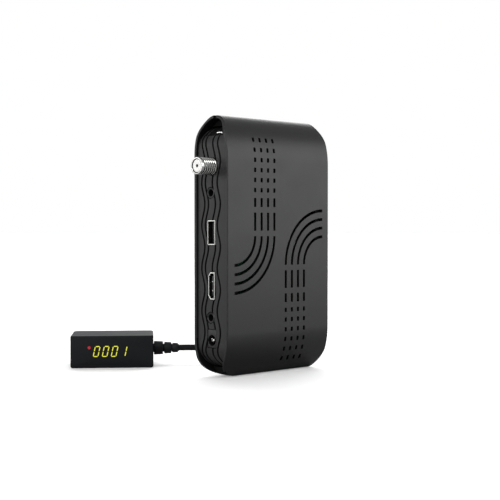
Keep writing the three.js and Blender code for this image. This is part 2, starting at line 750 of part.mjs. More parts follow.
// Receiver: connectors
const noseX = -panelFace - aerialLength;
const threadCount = Math.floor((aerialLength - 2 * aerialNose) / aerialThreadPitch);
const thread = Array.from({ length: threadCount }, (_, k) => {
  const crest = noseX + aerialNose + k * aerialThreadPitch;
  return [[crest, aerialRadius], [crest + aerialThreadPitch / 2, aerialRadius - aerialThreadDepth]];
}).flat();
const threadEnd = noseX + aerialNose + threadCount * aerialThreadPitch;
add(root, "aerial_socket_body", turnedX([
  [noseX, aerialBore], [noseX, aerialRadius - aerialNose], ...thread, [threadEnd, aerialRadius],
  [tunerFront - fit, aerialRadius], [tunerFront - fit, 0], [noseX + aerialBoreDepth, 0],
  [noseX + aerialBoreDepth, aerialBore], [noseX, aerialBore]], aerialY, aerialZ, aerialSides), nickel);
const insulatorFace = noseX + fit;
add(root, "aerial_socket_insulator", turnedX([
  [insulatorFace, aerialHole], [insulatorFace, aerialBore - fit],
  [noseX + aerialBoreDepth - fit, aerialBore - fit],
  [noseX + aerialBoreDepth - fit, aerialContact + fit],
  [noseX + aerialBoreDepth - 2 * fit - aerialContactLength, aerialContact + fit],
  [noseX + aerialBoreDepth - 2 * fit - aerialContactLength, aerialHole],
  [insulatorFace, aerialHole]], aerialY, aerialZ, 16), whitePlastic);
add(root, "aerial_socket_contact", barX(aerialContact, noseX + aerialBoreDepth - fit - aerialContactLength,
  noseX + aerialBoreDepth - fit, aerialY, aerialZ, 12), brass);
add(root, "serial_jack", jack(serialZ), blackPlastic);
add(root, "av_jack", jack(avZ), blackPlastic);
add(root, "usb_shell", socketShell(rectangle(usbY, usbZ, usbHeight, usbWidth),
  rectangle(usbY, usbZ, usbHeight - 2 * usbWall, usbWidth - 2 * usbWall), usbDepth), nickel);
const usbTongueTop = usbY - usbHeight / 2 + usbWall + usbTongueRise;
const socketBack = -panelFace - shellProud + usbDepth - overrun;
add(root, "usb_tongue", box([-panelFace + usbTongueSetback, usbTongueTop, usbZ - usbTongueWidth / 2],
  [socketBack - fit, usbTongueTop + usbTongueHeight, usbZ + usbTongueWidth / 2]), blackPlastic);
add(root, "video_shell", socketShell(videoShape(0), videoShape(videoWall), videoDepth), nickel);
const videoBack = -panelFace - shellProud + videoDepth - overrun;
const videoTongueY = videoY - videoTongueDrop;
add(root, "video_tongue", box(
  [-panelFace + videoTongueSetback, videoTongueY - videoTongueHeight / 2, videoZ - videoTongueWidth / 2],
  [videoBack - fit, videoTongueY + videoTongueHeight / 2, videoZ + videoTongueWidth / 2]), blackPlastic);
const powerBack = -panelFace + powerBoreDepth;
add(root, "power_jack_body", box([-panelFace, powerY - powerWidth / 2, powerZ - powerPlateLow],
  [-panelFace + powerDepth, powerY + powerWidth / 2, powerZ + powerPlateHigh])
  .subtract(barX(powerBore, -panelFace - overrun, powerBack, powerY, powerZ, 24)), blackPlastic);
add(root, "power_jack_pin",
  barX(powerPin, powerBack - fit - powerPinLength, powerBack - fit, powerY, powerZ, 12), nickel);
add(root, "light_bar", lightBlock(lightWidth, lightHeight, lightDepth), clearLight);

// Display box, built about the middle of its face on the surface that it stands on
const display = new THREE.Group();
display.position.set(...displayPlace, 0);
display.rotation.z = radians(displayTurn);
root.add(display);
const shellFront = windowThickness + windowInset;

function displayShell() {
  const shape = new THREE.Shape();
  const half = displayWidth / 2 - displayEdge;
  const back = displayDepth - displayEdge;
  const r = displayCorner - displayEdge;
  shape.moveTo(-half, shellFront);
  shape.lineTo(half, shellFront);
  shape.lineTo(half, back - r);
  shape.absarc(half - r, back - r, r, 0, Math.PI / 2);
  shape.absarc(-half + r, back - r, r, Math.PI / 2, Math.PI);
  const outside = new THREE.ExtrudeGeometry(shape, {
    depth: displayHeight - 2 * displayEdge, curveSegments: 5, bevelEnabled: true, bevelSegments: 2,
    bevelSize: displayEdge, bevelThickness: displayEdge });
  const block = solidOf(outside.translate(0, 0, displayEdge));
  const whole = block.intersect(box([-displayWidth, shellFront, -overrun],
    [displayWidth, displayDepth + overrun, displayHeight + overrun]));
  const hollow = box([-displayWidth / 2 + displayWall, shellFront - overrun, displayWall],
    [displayWidth / 2 - displayWall, displayDepth - displayWall, displayHeight - displayWall]);
  const relief = barX(reliefNeck + fit, displayWidth / 2 - displayWall - overrun,
    displayWidth / 2 + overrun, reliefY, reliefZ, 20);
  return cut(whole, [hollow, relief]);
}

const left = -displayWidth / 2;
add(display, "display_shell", displayShell(), displayPlastic);
add(display, "display_window", prismY(rounded(left + windowInset, windowInset, -left - windowInset,
  displayHeight - windowInset, windowCorner), 0, windowThickness, 3), smokedWindow);
const insideFront = windowThickness + fit;
const digitsBack = insideFront + digitsDepth;
function digitModule() {
  const block = box([left + digitsLeft, insideFront, digitsZ - digitsHeight / 2],
    [left + digitsLeft + digitsWidth, digitsBack, digitsZ + digitsHeight / 2]);
  const pitch = digitsWidth / digitCount;
  const wells = Array.from({ length: digitCount }, (_, k) => {
    const x = left + digitsLeft + pitch * (k + 0.5);
    const [across, up] = [(pitch - digitWellMargin) / 2, digitsHeight / 2 - digitWellMargin];
    return box([x - across, insideFront - overrun, digitsZ - up],
      [x + across, insideFront + digitWellDepth, digitsZ + up]);
  });
  return cut(block, wells);
}
add(display, "digit_module", digitModule(), digitGrey);
const innerSide = displayWidth / 2 - displayWall - fit;
add(display, "display_board", box([-innerSide, digitsBack + fit, displayWall + fit],
  [innerSide, digitsBack + fit + displayBoardThickness, displayHeight - displayWall - fit]), boardGreen);
add(display, "status_lamp", turnedY([
  [digitsBack - lampLength, 0], [digitsBack - lampLength + lampTip, lampRadius * 0.7],
  [digitsBack - lampLength + lampRadius, lampRadius], [digitsBack, lampRadius], [digitsBack, 0]],
left + lampAlong, lampZ, 14), lampRed);
const sensorX = displayWidth / 2 - sensorRight;
add(display, "remote_sensor", join([
  box([sensorX - sensorSize / 2, digitsBack - sensorDepth, digitsZ - sensorSize / 2],
    [sensorX + sensorSize / 2, digitsBack, digitsZ + sensorSize / 2]),
  barY(sensorLens, digitsBack - sensorDepth - sensorLensProud, digitsBack - sensorDepth / 2,
    sensorX, digitsZ, 12)]), chipBlack);

// Strain relief: a flange inside the wall, a neck through it and ribs that get smaller
const reliefStart = displayWidth / 2 + fit;
const reliefLength = reliefRibLengths.reduce((sum, length) => sum + length + reliefSlit, 0);
function reliefProfile() {
  const inside = displayWidth / 2 - displayWall - fit;
  const profile = [[inside - reliefFlangeThickness, 0], [inside - reliefFlangeThickness, reliefFlange],
    [inside, reliefFlange], [inside, reliefNeck]];
  let at = reliefStart;
  reliefRibRadii.forEach((radius, k) => {
    const end = at + reliefRibLengths[k];
    profile.push([at, reliefNeck], [at, radius], [end, radius * reliefRibTaperShare], [end, reliefNeck]);
    at = end + reliefSlit;
  });
  profile.push([at, reliefNeck], [at, 0]);
  return profile.filter(([a, r], k) => !k || a !== profile[k - 1][0] || r !== profile[k - 1][1]);
}
add(display, "display_strain_relief", turnedX(reliefProfile(), reliefY, reliefZ, 12), rubber);

// A tube of one section along points, closed at both ends, with its start and end square to them
function tube(points, diameter, sides) {
  const count = points.length;
  const corners = [];
  let side = null;
  for (let i = 0; i < count; i++) {
    const before = points[Math.max(i - 1, 0)];
    const after = points[Math.min(i + 1, count - 1)];
    const ahead = after.clone().sub(before).normalize();
    side ??= new THREE.Vector3(0, 0, 1).cross(ahead).normalize();
    side.sub(ahead.clone().multiplyScalar(side.dot(ahead))).normalize();
    const up = ahead.clone().cross(side);
    for (let k = 0; k < sides; k++) {
      const angle = (2 * Math.PI * (k + 0.5)) / sides;
      const corner = points[i].clone()
        .addScaledVector(side, (diameter / 2) * Math.cos(angle))
        .addScaledVector(up, (diameter / 2) * Math.sin(angle));
      corners.push(corner.x, corner.y, corner.z);
    }
  }
  const faces = [];
  for (let i = 0; i + 1 < count; i++)
    for (let k = 0; k < sides; k++) {
      const [a, b] = [i * sides + k, i * sides + ((k + 1) % sides)];
      faces.push(a, b, b + sides, a, b + sides, a + sides);
    }
  for (let k = 1; k + 1 < sides; k++) {
    faces.push(0, k + 1, k);
    const last = (count - 1) * sides;
    faces.push(last, last + k, last + k + 1);
  }
  const solid = new wasm.Manifold(new wasm.Mesh({
    numProp: 3, vertProperties: new Float32Array(corners), triVerts: new Uint32Array(faces) }));
  return solid;
}

// The lead leaves the strain relief level, sinks to the surface behind the receiver and is coiled there
const leadAhead = new THREE.Vector3(Math.cos(radians(displayTurn)), Math.sin(radians(displayTurn)), 0);
const leadLeft = new THREE.Vector3(-leadAhead.y, leadAhead.x, 0);
const leadStart = new THREE.Vector3(...displayPlace, 0)
  .addScaledVector(leadAhead, reliefStart + reliefLength + fit)
  .addScaledVector(leadLeft, reliefY);
const coilHeight = coilRise + cordDiameter / 2;
const leadLength = leadLevel + leadFall + leadLow;
const leadCount = Math.round(leadLength / leadStep);
const leadRun = Array.from({ length: leadCount + 1 }, (_, i) => {
  const along = (leadLength * i) / leadCount;
  const fallen = THREE.MathUtils.smoothstep(along, leadLevel, leadLevel + leadFall);
  return [along, THREE.MathUtils.lerp(reliefZ, coilHeight, fallen)];
});
const leadPoint = ([along, height]) => leadStart.clone()
  .addScaledVector(leadAhead, along).add(new THREE.Vector3(0, 0, height));
add(root, "display_cord", tube(leadRun.map(leadPoint), cordDiameter, cordSides), cordJacket);

// Coil: spirals in on the lower layer, climbs in the half turn where it reverses, spirals out above
const coilStart = leadPoint([leadLength + fit + cordDiameter, coilHeight]);
const coilOuter = coilMiddle + (coilPitch * coilTurnsIn) / 2;
const coilCentre = coilStart.clone().addScaledVector(leadLeft, coilOuter);
const startAngle = Math.atan2(-leadLeft.y, -leadLeft.x);
const coilRadius = (turns) =>
  coilOuter - coilPitch * (coilTurnsIn - Math.hypot(turns - coilTurnsIn, coilBend));
function coilAt(turns) {
  const climb = THREE.MathUtils.smoothstep(turns, coilTurnsIn - 0.25, coilTurnsIn + 0.25);
  const radius = coilRadius(turns);
  const angle = startAngle + 2 * Math.PI * turns;
  return new THREE.Vector3(coilCentre.x + radius * Math.cos(angle), coilCentre.y + radius * Math.sin(angle),
    coilStart.z + coilPitch * climb);
}
const coilTurns = coilTurnsIn + coilTurnsOut;
const coilCount = Math.round(coilTurns * coilSteps);
const coilPath = Array.from({ length: coilCount + 1 }, (_, i) => coilAt((coilTurns * i) / coilCount));
coilPath.unshift(coilStart.clone().addScaledVector(leadAhead, -cordDiameter));
const coilAhead = coilPath.at(-1).clone().sub(coilPath.at(-2)).normalize();
coilPath.push(coilPath.at(-1).clone().addScaledVector(coilAhead, cordDiameter));

// The least gap between stretches of the coil that aren't neighbours along the cord
function leastGap(path, diameter, skip) {
  let least = Infinity;
  path.forEach((p, i) => {
    for (let j = i + skip; j + 1 < path.length; j++) {
      const segment = new THREE.Line3(path[j], path[j + 1]);
      const nearest = segment.closestPointToPoint(p, true, new THREE.Vector3());
      least = Math.min(least, nearest.distanceTo(p) - diameter);
    }
  });
  return least;
}
console.log("least gap in the coil", leastGap(coilPath, cordDiameter, coilSteps / 2).toFixed(2), "mm");
add(root, "display_cord_coil", tube(coilPath, cordDiameter, coilSides), cordJacket);

// Tail: bends on round the coil in a wider curve while it sinks to the surface, and ends in the plug
const tailPath = [coilPath.at(-1).clone().addScaledVector(coilAhead, fit)];
const tailStep = tailLength / tailSteps;
for (let i = 1; i <= tailSteps; i++) {
  const bend = THREE.MathUtils.clamp((i - 1.5) * tailStep, 0, tailLength - 3 * tailStep) / tailRadius;
  const heading = Math.atan2(coilAhead.y, coilAhead.x) + bend;
  const next = tailPath[i - 1].clone().add(
    new THREE.Vector3(tailStep * Math.cos(heading), tailStep * Math.sin(heading), 0));
  const fallen = THREE.MathUtils.smoothstep(i, 1, tailSteps - 1);
  next.z = THREE.MathUtils.lerp(tailPath[0].z, plugRadius, fallen);
  tailPath.push(next);
}
const tailAhead = tailPath.at(-1).clone().sub(tailPath.at(-2)).normalize();
add(root, "display_cord_tail", tube(tailPath, cordDiameter, cordSides), cordJacket);

// Plug: a moulded body with a neck, and a stepped pin
const plug = new THREE.Group();
plug.position.copy(tailPath.at(-1)).addScaledVector(tailAhead, fit);
plug.rotation.z = Math.atan2(tailAhead.y, tailAhead.x);
root.add(plug);
add(plug, "display_plug_body", turnedX([
  [0, 0], [0, plugNeck], [plugNeckLength, plugNeck * 1.1], [plugNeckLength * 1.2, plugRadius * 0.94],
  [plugNeckLength * 1.4, plugRadius], [plugNeckLength + plugLength * 0.92, plugRadius],
  [plugNeckLength + plugLength, plugRadius * 0.9], [plugNeckLength + plugLength, 0]], 0, 0, 16), rubber);
const pinStart = plugNeckLength + plugLength + fit;
const pinEnd = pinStart + plugPinLength;
add(plug, "display_plug_pin", turnedX([
  [pinStart, 0], [pinStart, plugPin], [pinStart + plugPinLength * plugSleeveShare, plugPin],
  [pinEnd - 4 * plugRing, plugPin], [pinEnd - 3.5 * plugRing, plugPin * 0.75],
  [pinEnd - 2.5 * plugRing, plugPin * 0.97], [pinEnd, plugTip], [pinEnd, 0]], 0, 0, 14), nickel);

// Tie: a band round the coil's turns
const tieAngle = startAngle + radians(tieTurn);
const tiedTurns = Math.floor(coilTurns - tieTurn / 360) + 1;
const tiedRadii = Array.from({ length: tiedTurns }, (_, k) => coilRadius(k + tieTurn / 360));
const bandInner = Math.min(...tiedRadii) - cordDiameter / 2 - fit;
const bandOuter = Math.max(...tiedRadii) + cordDiameter / 2 + fit;
const bandTop = coilHeight + coilPitch + cordDiameter / 2 + fit;
const tie = new THREE.Group();
tie.position.set(coilCentre.x, coilCentre.y, 0);
tie.rotation.z = tieAngle;
root.add(tie);
add(tie, "coil_tie", box([bandInner - tieThickness, -tieWidth / 2, 0],
  [bandOuter + tieThickness, tieWidth / 2, bandTop + tieThickness])
  .subtract(box([bandInner, -tieWidth, tieThickness], [bandOuter, tieWidth, bandTop])), rubber);

export default root;
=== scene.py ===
"""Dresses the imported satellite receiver: housing, sockets, display box, lead and studio.

Sizes are millimetres in the receiver's own frame and become metres where a mesh is made. Z runs up
the receiver, X from the connector panel to the far side, and Y from the vented face to the back.
"""

import json
import logging
import math
from collections.abc import Callable, Sequence
from dataclasses import dataclass
from enum import Enum

import bpy
import numpy as np
from mathutils import Matrix, Vector

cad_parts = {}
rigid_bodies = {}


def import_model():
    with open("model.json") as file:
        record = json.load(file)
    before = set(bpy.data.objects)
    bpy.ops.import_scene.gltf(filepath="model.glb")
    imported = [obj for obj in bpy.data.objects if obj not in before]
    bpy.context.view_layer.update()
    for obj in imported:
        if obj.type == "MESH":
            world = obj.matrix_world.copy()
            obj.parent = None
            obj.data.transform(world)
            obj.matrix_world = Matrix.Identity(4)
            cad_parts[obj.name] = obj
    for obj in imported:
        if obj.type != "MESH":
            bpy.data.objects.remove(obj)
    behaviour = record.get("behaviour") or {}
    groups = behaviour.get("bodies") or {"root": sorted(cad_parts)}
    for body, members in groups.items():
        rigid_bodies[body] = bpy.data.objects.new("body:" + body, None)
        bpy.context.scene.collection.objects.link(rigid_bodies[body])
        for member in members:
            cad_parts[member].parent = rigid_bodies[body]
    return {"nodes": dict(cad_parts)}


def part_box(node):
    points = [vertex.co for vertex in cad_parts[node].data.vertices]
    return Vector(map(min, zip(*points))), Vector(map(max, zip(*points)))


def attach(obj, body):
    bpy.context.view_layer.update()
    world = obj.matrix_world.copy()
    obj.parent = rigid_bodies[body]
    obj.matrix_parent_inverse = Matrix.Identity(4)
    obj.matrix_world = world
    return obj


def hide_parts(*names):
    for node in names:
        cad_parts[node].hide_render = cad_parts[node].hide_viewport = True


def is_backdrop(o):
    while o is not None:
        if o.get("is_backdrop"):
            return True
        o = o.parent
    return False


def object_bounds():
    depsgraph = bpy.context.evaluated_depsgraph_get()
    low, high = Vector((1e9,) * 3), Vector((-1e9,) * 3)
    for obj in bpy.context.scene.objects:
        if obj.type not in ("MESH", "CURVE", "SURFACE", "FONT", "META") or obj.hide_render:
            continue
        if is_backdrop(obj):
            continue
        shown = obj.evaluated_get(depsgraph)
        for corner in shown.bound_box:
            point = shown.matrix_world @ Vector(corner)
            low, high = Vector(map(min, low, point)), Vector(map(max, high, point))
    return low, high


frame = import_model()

Array = np.ndarray
Colour = tuple[float, float, float]
Pick = Callable[[Array, Array], Array]
Value = bpy.types.NodeSocket | float
log = logging.getLogger("receiver")

MM = 0.001
BODY = "root"


class Axis(Enum):
    """The line along which a prism runs or about which a profile turns."""

    X = 0
    Y = 1
    Z = 2


class Cut(Enum):
    """What one solid does to another."""

    AWAY = "DIFFERENCE"
    COMMON = "INTERSECT"


@dataclass(frozen=True)
class Solid:
    """A closed mesh in millimetres.

    Attributes:
        points: one row for each corner.
        blocks: arrays of faces, all faces of one array with as many corners.
    """

    points: Array
    blocks: list[Array]

    def volume(self) -> float:
        """Sums the signed tetrahedra between the origin and each face's fan of triangles."""
        fans = [self.points[block] for block in self.blocks]
        return sum(float((f[:, :1] * np.cross(f[:, 1:-1], f[:, 2:])).sum()) / 6 for f in fans)

    def outward(self) -> "Solid":
        """The solid, its faces turned round where the signed volume is negative."""
        step = -1 if self.volume() < 0 else 1
        return Solid(self.points, [block[:, ::step] for block in self.blocks])

    def turned_about_z(self, degrees: float) -> "Solid":
        """The solid turned about the frame's Z axis, from X towards Y."""
        c, s = math.cos(math.radians(degrees)), math.sin(math.radians(degrees))
        return Solid(self.points @ np.array([[c, s, 0], [-s, c, 0], [0, 0, 1]]), self.blocks)

    def moved(self, *offset: float) -> "Solid":
        """The solid moved by an offset along X, Y and Z."""
        return Solid(self.points + np.array(offset), self.blocks)


def together(solids: Sequence[Solid]) -> Solid:
    """Lists several solids as one, each still closed in itself.

    Args:
        solids: the solids to list.

    Returns:
        One solid with all their points and faces.
    """
    starts = np.cumsum([0] + [len(solid.points) for solid in solids])
    blocks = [block + start for solid, start in zip(solids, starts) for block in solid.blocks]
    return Solid(np.concatenate([solid.points for solid in solids]), blocks)


def quads(rows: int, columns: int, round_rows: bool = False, round_columns: bool = True) -> Array:
    """Faces of a grid numbered row by row, each over four neighbours.

    Args:
        rows: number of rows.
        columns: number of columns.
        round_rows: whether the last row joins the first.
        round_columns: whether the last column joins the first.

    Returns:
        One row of four corner numbers for each face.
    """
    r = np.arange(rows if round_rows else rows - 1)[:, None]
    c = np.arange(columns if round_columns else columns - 1)[None, :]
    below, beside = (r + 1) % rows, (c + 1) % columns
    corners = [r * columns + c, r * columns + beside, below * columns + beside, below * columns + c]
    return np.stack(corners, -1).reshape(-1, 4)


def on_axis(u: Array, v: Array, w: Array, axis: Axis) -> Array:
    """Points at w along an axis, with u and v the other two coordinates in their order."""
    order = {Axis.X: (w, u, v), Axis.Y: (u, w, v), Axis.Z: (u, v, w)}[axis]
    return np.stack(np.broadcast_arrays(*order), -1).astype(float)


def lofted(rings: Array) -> Solid:
    """Closes a stack of rings: row i joins row i + 1 and column j joins j + 1, with flat ends.

    Args:
        rings: points as rows, columns and coordinates.

    Returns:
        The closed solid.
    """
    rows, columns = rings.shape[:2]
    ends = np.stack([np.arange(columns)[::-1], np.arange(columns) + (rows - 1) * columns])
    return Solid(rings.reshape(-1, 3), [quads(rows, columns), ends]).outward()


def prism(outline: Array, low: float, high: float, axis: Axis) -> Solid:
    """Carries a flat outline (u, v) along an axis: P(i, j) = outline(j) at level low or high."""
    levels = np.array([low, high])[:, None]
    return lofted(on_axis(outline[None, :, 0], outline[None, :, 1], levels, axis))


def sleeve_ring(outer: Array, inner: Array, low: float, high: float, axis: Axis) -> Solid:
    """A tube wall between two outlines of as many points, open at both ends.

    Args:
        outer: outer outline.
        inner: inner outline.
        low: where the tube starts on the axis.
        high: where it ends.
        axis: the axis.

    Returns:
        The closed wall: four rings, outer and inner at each level, joined all round.
    """
    flat = np.stack([outer, outer, inner, inner])
    levels = np.array([low, high, high, low])[:, None]
    rings = on_axis(flat[..., 0], flat[..., 1], levels, axis)
    return Solid(rings.reshape(-1, 3), [quads(4, len(outer), round_rows=True)]).outward()


def turned(profile: Array, axis: Axis, centre: Sequence[float], steps: int = 48,
           swell: Callable[[Array, Array], Array] | None = None) -> Solid:
    """Turns a profile of (distance, radius): P(i, j) = centre + radius(i) at angle 2 pi j / steps.

    Args:
        profile: points from axis to axis, or with the last equal to the first for a ring.
        axis: the axis that it turns about.
        centre: the axis's place in the other two coordinates.
        steps: number of steps round.
        swell: change of radius for each distance and angle.

    Returns:
        The closed solid, with one point at each pole.
    """
    ring = bool(np.allclose(profile[0], profile[-1]))
    inner = profile[:-1] if ring else profile[1:-1]
    angle = 2 * np.pi * np.arange(steps)[None, :] / steps
    along, radius = inner[:, :1], inner[:, 1:]
    if swell is not None:
        radius = radius + swell(along, angle)
    u, v = centre[0] + radius * np.cos(angle), centre[1] + radius * np.sin(angle)
    points = on_axis(u, v, along, axis).reshape(-1, 3)
    if ring:
        return Solid(points, [quads(len(inner), steps, round_rows=True)]).outward()
    poles = on_axis(np.full(2, centre[0]), np.full(2, centre[1]), profile[[0, -1], 0], axis)
    count, column = len(points), np.arange(steps)
    beside = (column + 1) % steps
    last = count - steps
    start = np.stack([np.full(steps, count), beside, column], -1)
    end = np.stack([np.full(steps, count + 1), last + column, last + beside], -1)
    blocks = [quads(len(inner), steps), np.concatenate([start, end])]
    return Solid(np.concatenate([points, poles]), blocks).outward()


def rod(low: float, high: float, radius: float) -> Array:
    """Profile of a plain round rod, from axis to axis."""
    return np.array([[low, 0], [low, radius], [high, radius], [high, 0]])


def off_line(points: Array, centre: Sequence[float]) -> Array:
    """Distance of points from a line along X at a centre (y, z)."""
    return np.hypot(points[:, 1] - centre[0], points[:, 2] - centre[1])


def arc(centre: Sequence[float], radius: float, start: float, end: float, steps: int) -> Array:
    """Points (u, v) = centre + radius (cos a, sin a) for a from start to end in degrees."""
    a = np.radians(np.linspace(start, end, steps + 1))
    return np.stack([centre[0] + radius * np.cos(a), centre[1] + radius * np.sin(a)], -1)


def rounded(left: float, bottom: float, right: float, top: float, radius: float,
            steps: int = 6) -> Array:
    """A rectangle with round corners, as points in order.

    Args:
        left: lowest u.
        bottom: lowest v.
        right: highest u.
        top: highest v.
        radius: radius of the corners.
        steps: steps round each corner.

    Returns:
        The outline.
    """
    r = radius
    return np.concatenate([
        arc((right - r, bottom + r), r, -90, 0, steps), arc((right - r, top - r), r, 0, 90, steps),
        arc((left + r, top - r), r, 90, 180, steps),
        arc((left + r, bottom + r), r, 180, 270, steps)])


def eased(outline: Callable[[float], Array], low: float, high: float, axis: Axis,
          low_edge: float, high_edge: float, steps: int = 4) -> Solid:
    """A prism with rounded rims: at turn t the outline is drawn in by edge (1 - sin t).

    Args:
        outline: gives the outline drawn in by a distance.
        low: where the prism starts.
        high: where it ends.
        axis: the axis.
        low_edge: radius of the rim at its start, or 0.
        high_edge: radius of the rim at its end, or 0.
        steps: steps round each rim.

    Returns:
        The closed solid.
    """
    turns = [(1 - math.sin(t), 1 - math.cos(t)) for t in np.radians(np.linspace(0, 90, steps + 1))]
    starts = [(low_edge * inwards, low + low_edge * along) for inwards, along in turns]
    ends = [(high_edge * inwards, high - high_edge * along) for inwards, along in turns[::-1]]
    levels = (starts if low_edge else [(0.0, low)]) + (ends if high_edge else [(0.0, high)])
    rings = [on_axis(*outline(inset).T, np.array(level), axis) for inset, level in levels]
    return lofted(np.stack(rings))


def block(low: Sequence[float], high: Sequence[float], edge: float = 0.15) -> Solid:
    """A box with rounded edges, for the plain parts of a socket or a chip.

    Args:
        low: its lowest corner.
        high: its highest corner.
        edge: radius of its edges.

    Returns:
        The closed solid.
    """
    def outline(inset: float) -> Array:
        """The box's outline in X and Y, drawn in by inset."""
        return rounded(low[0] + inset, low[1] + inset, high[0] - inset, high[1] - inset,
                       max(edge * 1.5 - inset, edge * 0.3), 3)
    return eased(outline, low[2], high[2], Axis.Z, edge, edge, 2)


def box_of(node: str) -> tuple[Array, Array]:
    """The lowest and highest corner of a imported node, in millimetres."""
    low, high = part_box(node)
    return np.array(low) / MM, np.array(high) / MM


def middle_of(node: str) -> Array:
    """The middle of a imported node's box, in millimetres."""
    low, high = box_of(node)
    return (low + high) / 2


class Piece:
    """One finished object of the scene, made from solids and cut in Blender."""

    def __init__(self, name: str, solid: Solid) -> None:
        """Makes the object.

        Args:
            name: the object's name.
            solid: its shape.
        """
        self.name = name
        self.object = bpy.data.objects.new(name, self.mesh_of(name, solid))
        bpy.context.scene.collection.objects.link(self.object)

    @staticmethod
    def mesh_of(name: str, solid: Solid) -> bpy.types.Mesh:
        """A mesh in metres with a solid's points and faces.

        Args:
            name: the mesh's name.
            solid: the solid in millimetres.

        Returns:
            The mesh.
        """
        mesh = bpy.data.meshes.new(name)
        faces = [face for group in solid.blocks for face in group.tolist()]
        mesh.from_pydata((solid.points * MM).tolist(), [], faces)
        mesh.update()
        return mesh

    def change(self, tool: "Solid | Piece", how: Cut) -> "Piece":
        """Cuts the piece by another form, or keeps what the two share.

        Args:
            tool: the other form, which is used up.
            how: what it does.

        Returns:
            The piece itself.
        """
        other = tool if isinstance(tool, Piece) else Piece("tool", tool)
        modifier = self.object.modifiers.new("cut", "BOOLEAN")
        modifier.operation, modifier.solver, modifier.object = how.value, "EXACT", other.object
        graph = bpy.context.evaluated_depsgraph_get()
        fresh = bpy.data.meshes.new_from_object(self.object.evaluated_get(graph))
        self.object.modifiers.clear()
        used = [self.object.data, other.object.data]
        self.object.data = fresh
        fresh.name = self.name
        bpy.data.objects.remove(other.object)
        bpy.data.batch_remove(used)
        return self

    def read(self, name: str) -> Array:
        """Centres or normals of the piece's faces, one row for each face.

        Args:
            name: "center" or "normal".

        Returns:
            The rows, in metres where they are places.
        """
        polygons = self.object.data.polygons
        values = np.empty(3 * len(polygons))
        polygons.foreach_get(name, values)
        return values.reshape(-1, 3)

    def follow(self, pick: Pick, normal_at: Callable[[Array], Array]) -> "Piece":
        """Shades picked faces by the true surface's normals, so cut faces show no streaks.

        Args:
            pick: tells the faces by their centres in millimetres and their normals.
            normal_at: the surface's normals at points in millimetres.

        Returns:
            The piece itself.
        """
        mesh = self.object.data
        count = len(mesh.loops)
        vertex, totals = np.empty(count, np.int32), np.empty(len(mesh.polygons), np.int32)
        places, corners = np.empty(3 * len(mesh.vertices)), np.empty(3 * count)
        mesh.loops.foreach_get("vertex_index", vertex)
        mesh.polygons.foreach_get("loop_total", totals)
        mesh.vertices.foreach_get("co", places)
        mesh.corner_normals.foreach_get("vector", corners)
        chosen = np.repeat(pick(self.read("center") / MM, self.read("normal")), totals)
        corners = corners.reshape(-1, 3)
        corners[chosen] = normal_at(places.reshape(-1, 3)[vertex[chosen]] / MM)
        mesh.normals_split_custom_set(corners.tolist())
        return self

    def finish(self, material: bpy.types.Material, slot: str, *nodes: str, smooth: float = 35,
               bevel: float = 0.0, within: bpy.types.Material | None = None,
               pick: Pick | None = None) -> bpy.types.Object:
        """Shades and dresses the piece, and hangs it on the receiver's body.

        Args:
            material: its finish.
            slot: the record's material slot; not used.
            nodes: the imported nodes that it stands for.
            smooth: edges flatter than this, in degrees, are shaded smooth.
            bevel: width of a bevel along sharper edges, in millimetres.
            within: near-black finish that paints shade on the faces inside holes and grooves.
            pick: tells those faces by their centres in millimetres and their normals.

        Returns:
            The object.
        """
        mesh = self.object.data
        mesh.materials.clear()
        mesh.materials.append(material)
        if pick is not None:
            mesh.materials.append(within)
            chosen = pick(self.read("center") / MM, self.read("normal"))
            mesh.polygons.foreach_set("material_index", chosen.astype(np.int32))
        mesh.polygons.foreach_set("use_smooth", np.ones(len(mesh.polygons), bool))
        if bevel:
            rim = self.object.modifiers.new("rim", "BEVEL")
            rim.width, rim.segments, rim.limit_method = bevel * MM, 2, "ANGLE"
            rim.angle_limit, rim.harden_normals = math.radians(smooth), True
            rim.use_clamp_overlap = True
        else:
            mesh.set_sharp_from_angle(angle=math.radians(smooth))
        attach(self.object, BODY)
        if nodes:
            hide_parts(*nodes)
        log.info("%s: %d faces", self.name, len(mesh.polygons))
        return self.object


